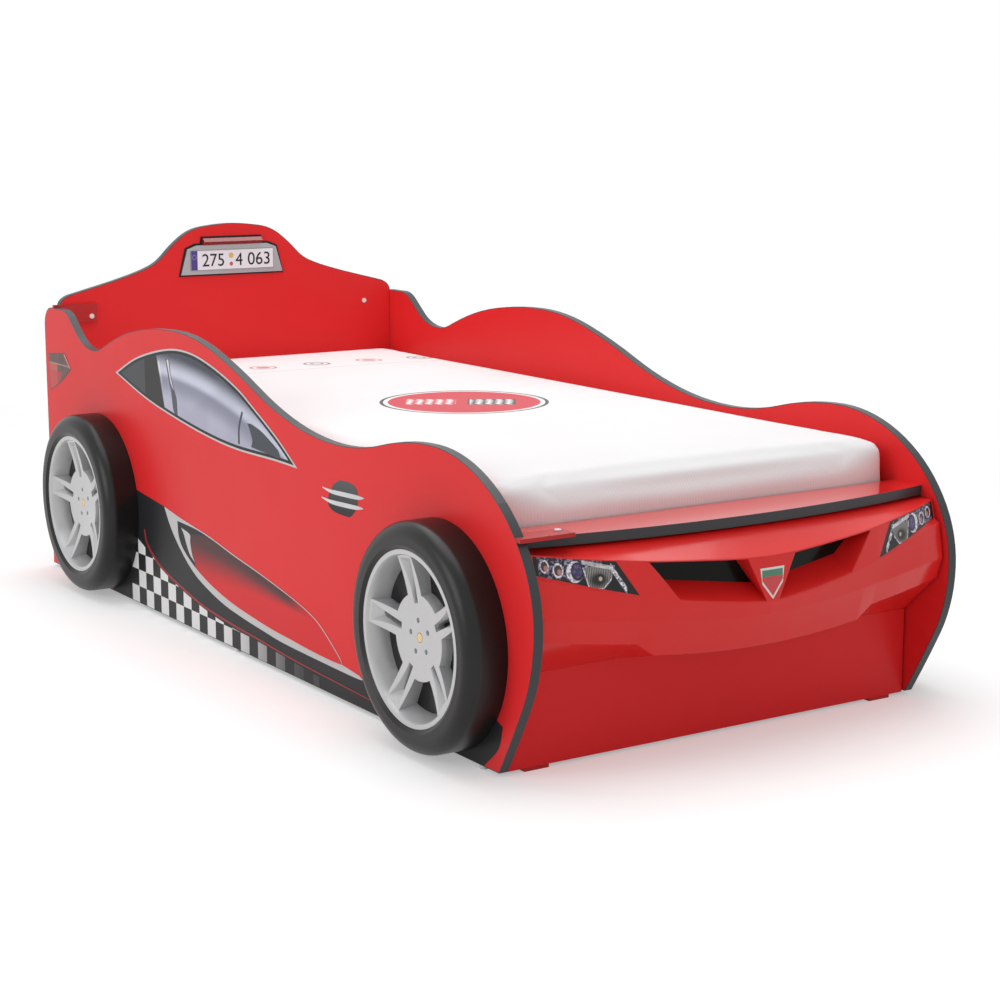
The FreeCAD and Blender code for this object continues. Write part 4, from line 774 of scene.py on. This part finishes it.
LEAF_REAR = (0.4021, 0.2536)
SWOOSH = [
    LEAF_REAR, (0.3728, 0.2150), (0.333, 0.1790), (0.2785, 0.1425), (0.2192, 0.1175), (0.122, 0.0930),
    (0.0276, 0.0805), (-0.0639, 0.0725), (-0.1524, 0.0660), (-0.321, 0.0628), (-0.459, 0.0622),
]
SILL = [
    [(0.700, SILL_FOOT), (0.690, 0.150), (0.5546, 0.2689)],
    [(0.5546, 0.2689), LEAF_REAR],
    SWOOSH,
    [(-0.4789, 0.0641), (-0.620, 0.0760), (-0.760, 0.105), (-0.880, 0.112), (-0.9442, 0.0925)],
    [(-0.9442, 0.0925), (-0.930, 0.050), (-0.8853, SILL_FOOT)],
    [(-0.8853, SILL_FOOT), (0.700, SILL_FOOT)],
]
CHECKS = [
    [(CHECKS_REAR, SILL_FOOT), (CHECKS_REAR, 0.1700)],
    [(CHECKS_REAR, 0.1700), (0.5480, 0.1560), (0.4622, 0.1265), (0.3868, 0.0990), (0.2681, 0.0720),
     (0.115, 0.0519), (-0.0624, 0.0441), (-0.2368, 0.0340), (CHECKS_FRONT, 0.0300)],
    [(CHECKS_FRONT, 0.0300), (CHECKS_FRONT, SILL_FOOT)],
    [(CHECKS_FRONT, SILL_FOOT), (CHECKS_REAR, SILL_FOOT)],
]
SILL_LINE = [
    (0.5120, 0.1850), (0.5000, 0.1550), (0.4500, 0.1230), (0.3900, 0.1030), (0.3350, 0.0910),
    (0.2400, 0.0720), (0.1551, 0.0622), (0.0516, 0.0550), (-0.0392, 0.0504), (-0.1441, 0.0440),
    (-0.2285, 0.0400), (-0.3201, 0.0373), (-0.5010, 0.0321),
]
SCOOP_TOP = [
    LEAF_REAR, (0.3323, 0.2431), (0.2425, 0.2327), (0.1746, 0.2249), (0.0622, 0.2064), (-0.0458, 0.1908),
    (-0.1495, 0.1737), (-0.2246, 0.1595), (-0.2775, 0.1463), (-0.3132, 0.1308), (-0.3522, 0.1077),
    (-0.3829, 0.0871), (-0.3919, 0.0754),
]
SCOOP_TIP = (-0.4590, 0.0690)
WELL_REAR = (0.3353, 0.2330)
WELL_TOP = [
    WELL_REAR, (0.2428, 0.2298), (0.1749, 0.2221), (0.0624, 0.2039), (-0.0456, 0.1886), (-0.1494, 0.1718),
    (-0.2245, 0.1577), (-0.2760, 0.1447), (-0.3112, 0.1294), (-0.3498, 0.1064), (-0.3805, 0.0860),
    (-0.3900, 0.0750),
]
WELL_FOOT = [
    (-0.3885, 0.0750), (-0.3433, 0.0743), (-0.2628, 0.0763), (-0.1797, 0.0805), (-0.0939, 0.0848),
    (0.0310, 0.0966), (0.1049, 0.1073), (0.1805, 0.1236), (0.2479, 0.1448), (0.3063, 0.1737),
    (0.3300, 0.2004), WELL_REAR,
]
FLOOR_TOP = [(0.2720, 0.2136), (0.2200, 0.2210)] + WELL_TOP[2:]
FLOOR_FOOT = WELL_FOOT[:9]
FLOOR_REAR = [(0.2479, 0.1448), (0.2547, 0.1632), (0.2676, 0.1805), (0.2720, 0.2136)]
GLINT = [
    [(0.3154, 0.2213), (0.2735, 0.2136), (0.2716, 0.1963), (0.2641, 0.1724), (0.2512, 0.1564)],
    [(0.2512, 0.1564), (0.2756, 0.1700), (0.2913, 0.1900), (0.3020, 0.2076), (0.3154, 0.2213)],
]

VENT = [
    (-0.3928, 0.4305), (-0.4308, 0.4305), (-0.4531, 0.4245), (-0.4602, 0.4088), (-0.4559, 0.3895),
    (-0.4444, 0.3764), (-0.4291, 0.3664), (-0.4101, 0.3651), (-0.3717, 0.3665), (-0.3486, 0.3743),
    (-0.3451, 0.3871), (-0.3534, 0.4037), (-0.3694, 0.4194), (-0.3928, 0.4305),
]
VENT_BARS = [
    ([(-0.3241, 0.4078), (-0.3535, 0.4072), (-0.4113, 0.4097), (-0.4602, 0.4113), (-0.4824, 0.4100)],
     [(-0.4824, 0.4085), (-0.4600, 0.4036), (-0.4111, 0.4010), (-0.3611, 0.4001), (-0.3241, 0.4059)]),
    ([(-0.3215, 0.3882), (-0.3529, 0.3874), (-0.4107, 0.3898), (-0.4597, 0.3914), (-0.4783, 0.3908)],
     [(-0.4783, 0.3884), (-0.4521, 0.3836), (-0.4105, 0.3811), (-0.3605, 0.3802), (-0.3215, 0.3857)]),
]
TAIL_LIGHT = [
    [(1.0522, 0.5277), (0.9486, 0.5377)],
    [(0.9486, 0.5377), (0.9124, 0.5019)],
    [(0.9124, 0.5019), (0.985, 0.462), (1.0485, 0.4382)],
    [(1.0485, 0.4382), (1.0522, 0.5277)],
]


def flank_prints(name, side):
    """All prints of one side panel; a higher layer lies over a lower one."""
    def put(piece, layer, material, outline):
        decal(f"{piece}_{name}", outline, layer, material, side)

    window, tail = loop(*WINDOW), loop(*TAIL_LIGHT)
    put("window_rim", 1, silver_print, window)
    put("window_seal", 2, dark_print, inset(window, 0.0040))
    put("window_glass", 3, window_glass, inset(window, 0.0100))
    put("window_glare", 4, pale_print, loop(*GLARE))
    put("seat_belt", 4, seat_print, loop(*SEAT_BELT))
    put("seat_glare", 5, pale_print, loop(*SEAT_GLARE))
    put("door_mirror", 4, mirror_print, loop(*DOOR_MIRROR))
    put("quarter_post", 4, mirror_print, stripe(QUARTER_POST, 0.0070))

    put("sill", 1, dark_print, loop(*SILL))
    put("sill_checks", 2, sill_look, loop(*CHECKS))
    put("sill_line", 3, red_print, stripe(SILL_LINE, 0.0084, 0.75))
    put("scoop_rim", 2, silver_print, loop(SCOOP_TOP, [SCOOP_TOP[-1], SCOOP_TIP], [SCOOP_TIP] + SWOOSH[::-1]))
    put("scoop_well", 3, dark_print, loop(WELL_TOP, WELL_FOOT))
    put("scoop_floor", 4, scoop_look, loop(FLOOR_TOP, FLOOR_FOOT, FLOOR_REAR))
    put("scoop_glint", 5, silver_print, loop(*GLINT))

    put("vent", 1, vent_look, loop(VENT))
    for number, bar in enumerate(VENT_BARS):
        put(f"vent_bar_{number}", 2, chrome_look, loop(*bar))

    put("tail_light", 1, seat_print, tail)
    put("tail_light_lens", 2, tail_look, inset(tail, 0.0022))
    put("tail_light_glint", 3, rose_print, stripe([(0.9535, 0.5340), (0.9180, 0.5030)], 0.0040))


for name, side in SIDES:
    flank_prints(name, side)


PLATE_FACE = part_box("number_plate")[0].y
DIGITS_FOOT, DIGITS_TALL, DIGITS_PROUD = 0.7215, 0.031, 0.0004


def digits(name, text, low, high):
    """Plain digits on the number plate, fitted between two places."""
    curve = bpy.data.curves.new(name, "FONT")
    curve.body = text
    curve.extrude = 0.02
    shape = bpy.data.objects.new(name, curve)
    bpy.context.scene.collection.objects.link(shape)
    bm = bmesh.new()
    bm.from_mesh(shape.evaluated_get(bpy.context.evaluated_depsgraph_get()).to_mesh())
    bpy.data.objects.remove(shape)
    least = [min(v.co[k] for v in bm.verts) for k in range(3)]
    most = [max(v.co[k] for v in bm.verts) for k in range(3)]
    for vert in bm.verts:
        share = [(vert.co[k] - least[k]) / (most[k] - least[k]) for k in range(3)]
        x, z = low + (high - low) * share[0], DIGITS_FOOT + DIGITS_TALL * share[1]
        vert.co = (x, PLATE_FACE - DIGITS_PROUD * share[2], z)
    bmesh.ops.recalc_face_normals(bm, faces=bm.faces)
    mesh_object(name, bm, dark_print, BED, smooth=False)


SEAL_HALF = [(0.1450, 0.6980), (0.1275, 0.7680), (0.1020, 0.7790), (0.0865, 0.7790), (0.0835, 0.7955)]
seal = SEAL_HALF + [(-x, z) for x, z in SEAL_HALF[::-1]]
upright("plate_seal", seal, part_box("headboard")[0].y, 0.0012, dark_print, BED, 0.0006)

digits("plate_digits_a", "275", -0.083, -0.024)
digits("plate_digit_b", "4", 0.008, 0.027)
digits("plate_digits_c", "063", 0.042, 0.103)


# ------------------------------------------------------------ light and floor
def seen(nodes, links):
    """1 for what the camera sees, straight or through gloss and glass."""
    path = nodes.new("ShaderNodeLightPath")
    total = path.outputs["Is Camera Ray"]
    for kind in ("Is Glossy Ray", "Is Transmission Ray"):
        either = nodes.new("ShaderNodeMath")
        either.operation = "MAXIMUM"
        links.new(total, either.inputs[0])
        links.new(path.outputs[kind], either.inputs[1])
        total = either.outputs[0]
    return total


FLOOR_SEEN = 1.12       # the floor's colour where it is seen
FLOOR_GLOW = 0.35       # share of plain white in it
FADE_FROM, FADE_TO = 1.1, 2.6
WORLD = 0.60


def floor_material():
    """Pale floor that fades into the white background away from the shadows."""
    m = Mat("studio_floor", 0.85).color((0.80, 0.80, 0.80), 0.005, 0.5)
    lit = m.nodes.new("ShaderNodeBsdfDiffuse")
    lit.inputs["Color"].default_value = (FLOOR_SEEN, FLOOR_SEEN, FLOOR_SEEN, 1)
    far = m.nodes.new("ShaderNodeEmission")
    near = m.nodes.new("ShaderNodeMixShader")
    near.inputs[0].default_value = FLOOR_GLOW
    m.links.new(lit.outputs[0], near.inputs[1])
    m.links.new(far.outputs[0], near.inputs[2])
    long_y = m.times(m.y, 0.6)
    reach = m.length(m.x, long_y)
    shown = m.nodes.new("ShaderNodeMixShader")
    m.links.new(m.step(reach, FADE_FROM, FADE_TO), shown.inputs[0])
    m.links.new(near.outputs[0], shown.inputs[1])
    m.links.new(far.outputs[0], shown.inputs[2])
    both = m.nodes.new("ShaderNodeMixShader")
    m.links.new(seen(m.nodes, m.links), both.inputs[0])
    m.links.new(m.bsdf.outputs[0], both.inputs[1])
    m.links.new(shown.outputs[0], both.inputs[2])
    m.links.new(both.outputs[0], m.nodes["Material Output"].inputs["Surface"])
    return m


FLOOR_HALF = 9.0
CAMERA_PLACE = (-2.3377, -3.7778, 1.1137)
CAMERA_AZIMUTH, CAMERA_ELEVATION = -33.233, 10.602      # degrees
CAMERA_LENS, SENSOR = 75.81, 36.0                       # millimetres


def studio():
    """Floor, world, two soft lamps and the camera."""
    scene = bpy.context.scene
    bm = bmesh.new()
    corners = [(-1, -1), (1, -1), (1, 1), (-1, 1)]
    bm.faces.new([bm.verts.new((x * FLOOR_HALF, y * FLOOR_HALF, 0)) for x, y in corners])
    floor = mesh_object("studio_floor", bm, floor_material(), None, smooth=False)

    world = bpy.data.worlds.new("studio")
    scene.world = world
    world.use_nodes = True
    nodes, links = world.node_tree.nodes, world.node_tree.links
    background = nodes["Background"]
    background.inputs["Color"].default_value = (1, 1, 1, 1)
    background.inputs["Strength"].default_value = WORLD
    white = nodes.new("ShaderNodeBackground")
    white.inputs["Color"].default_value = (1, 1, 1, 1)
    white.inputs["Strength"].default_value = 1.0
    blend = nodes.new("ShaderNodeMixShader")
    links.new(seen(nodes, links), blend.inputs[0])
    links.new(background.outputs[0], blend.inputs[1])
    links.new(white.outputs[0], blend.inputs[2])
    links.new(blend.outputs[0], nodes["World Output"].inputs["Surface"])

    def panel(name, place, aim, size, power):
        light = bpy.data.lights.new(name, "AREA")
        light.shape = "RECTANGLE"
        light.size, light.size_y = size
        light.energy = power
        obj = bpy.data.objects.new(name, light)
        obj.location = place
        obj.rotation_euler = (Vector(aim) - Vector(place)).to_track_quat("-Z", "Y").to_euler()
        scene.collection.objects.link(obj)

    panel("overhead", (0.3, 0.4, 3.6), (0, 0.1, 0.3), (3.6, 4.2), 90)
    panel("left_fill", (-4.4, -0.4, 1.9), (0, 0, 0.3), (2.6, 2.2), 44)

    cam = bpy.data.cameras.new("camera")
    cam.sensor_width = SENSOR
    cam.lens = CAMERA_LENS
    obj = bpy.data.objects.new("camera", cam)
    obj.location = CAMERA_PLACE
    azimuth, elevation = math.radians(CAMERA_AZIMUTH), math.radians(CAMERA_ELEVATION)
    level = math.cos(elevation)
    back = Vector((math.sin(azimuth) * level, -math.cos(azimuth) * level, math.sin(elevation)))
    obj.rotation_euler = back.to_track_quat("Z", "Y").to_euler()
    scene.collection.objects.link(obj)
    scene.camera = obj
    scene.view_settings.view_transform = "Standard"


studio()
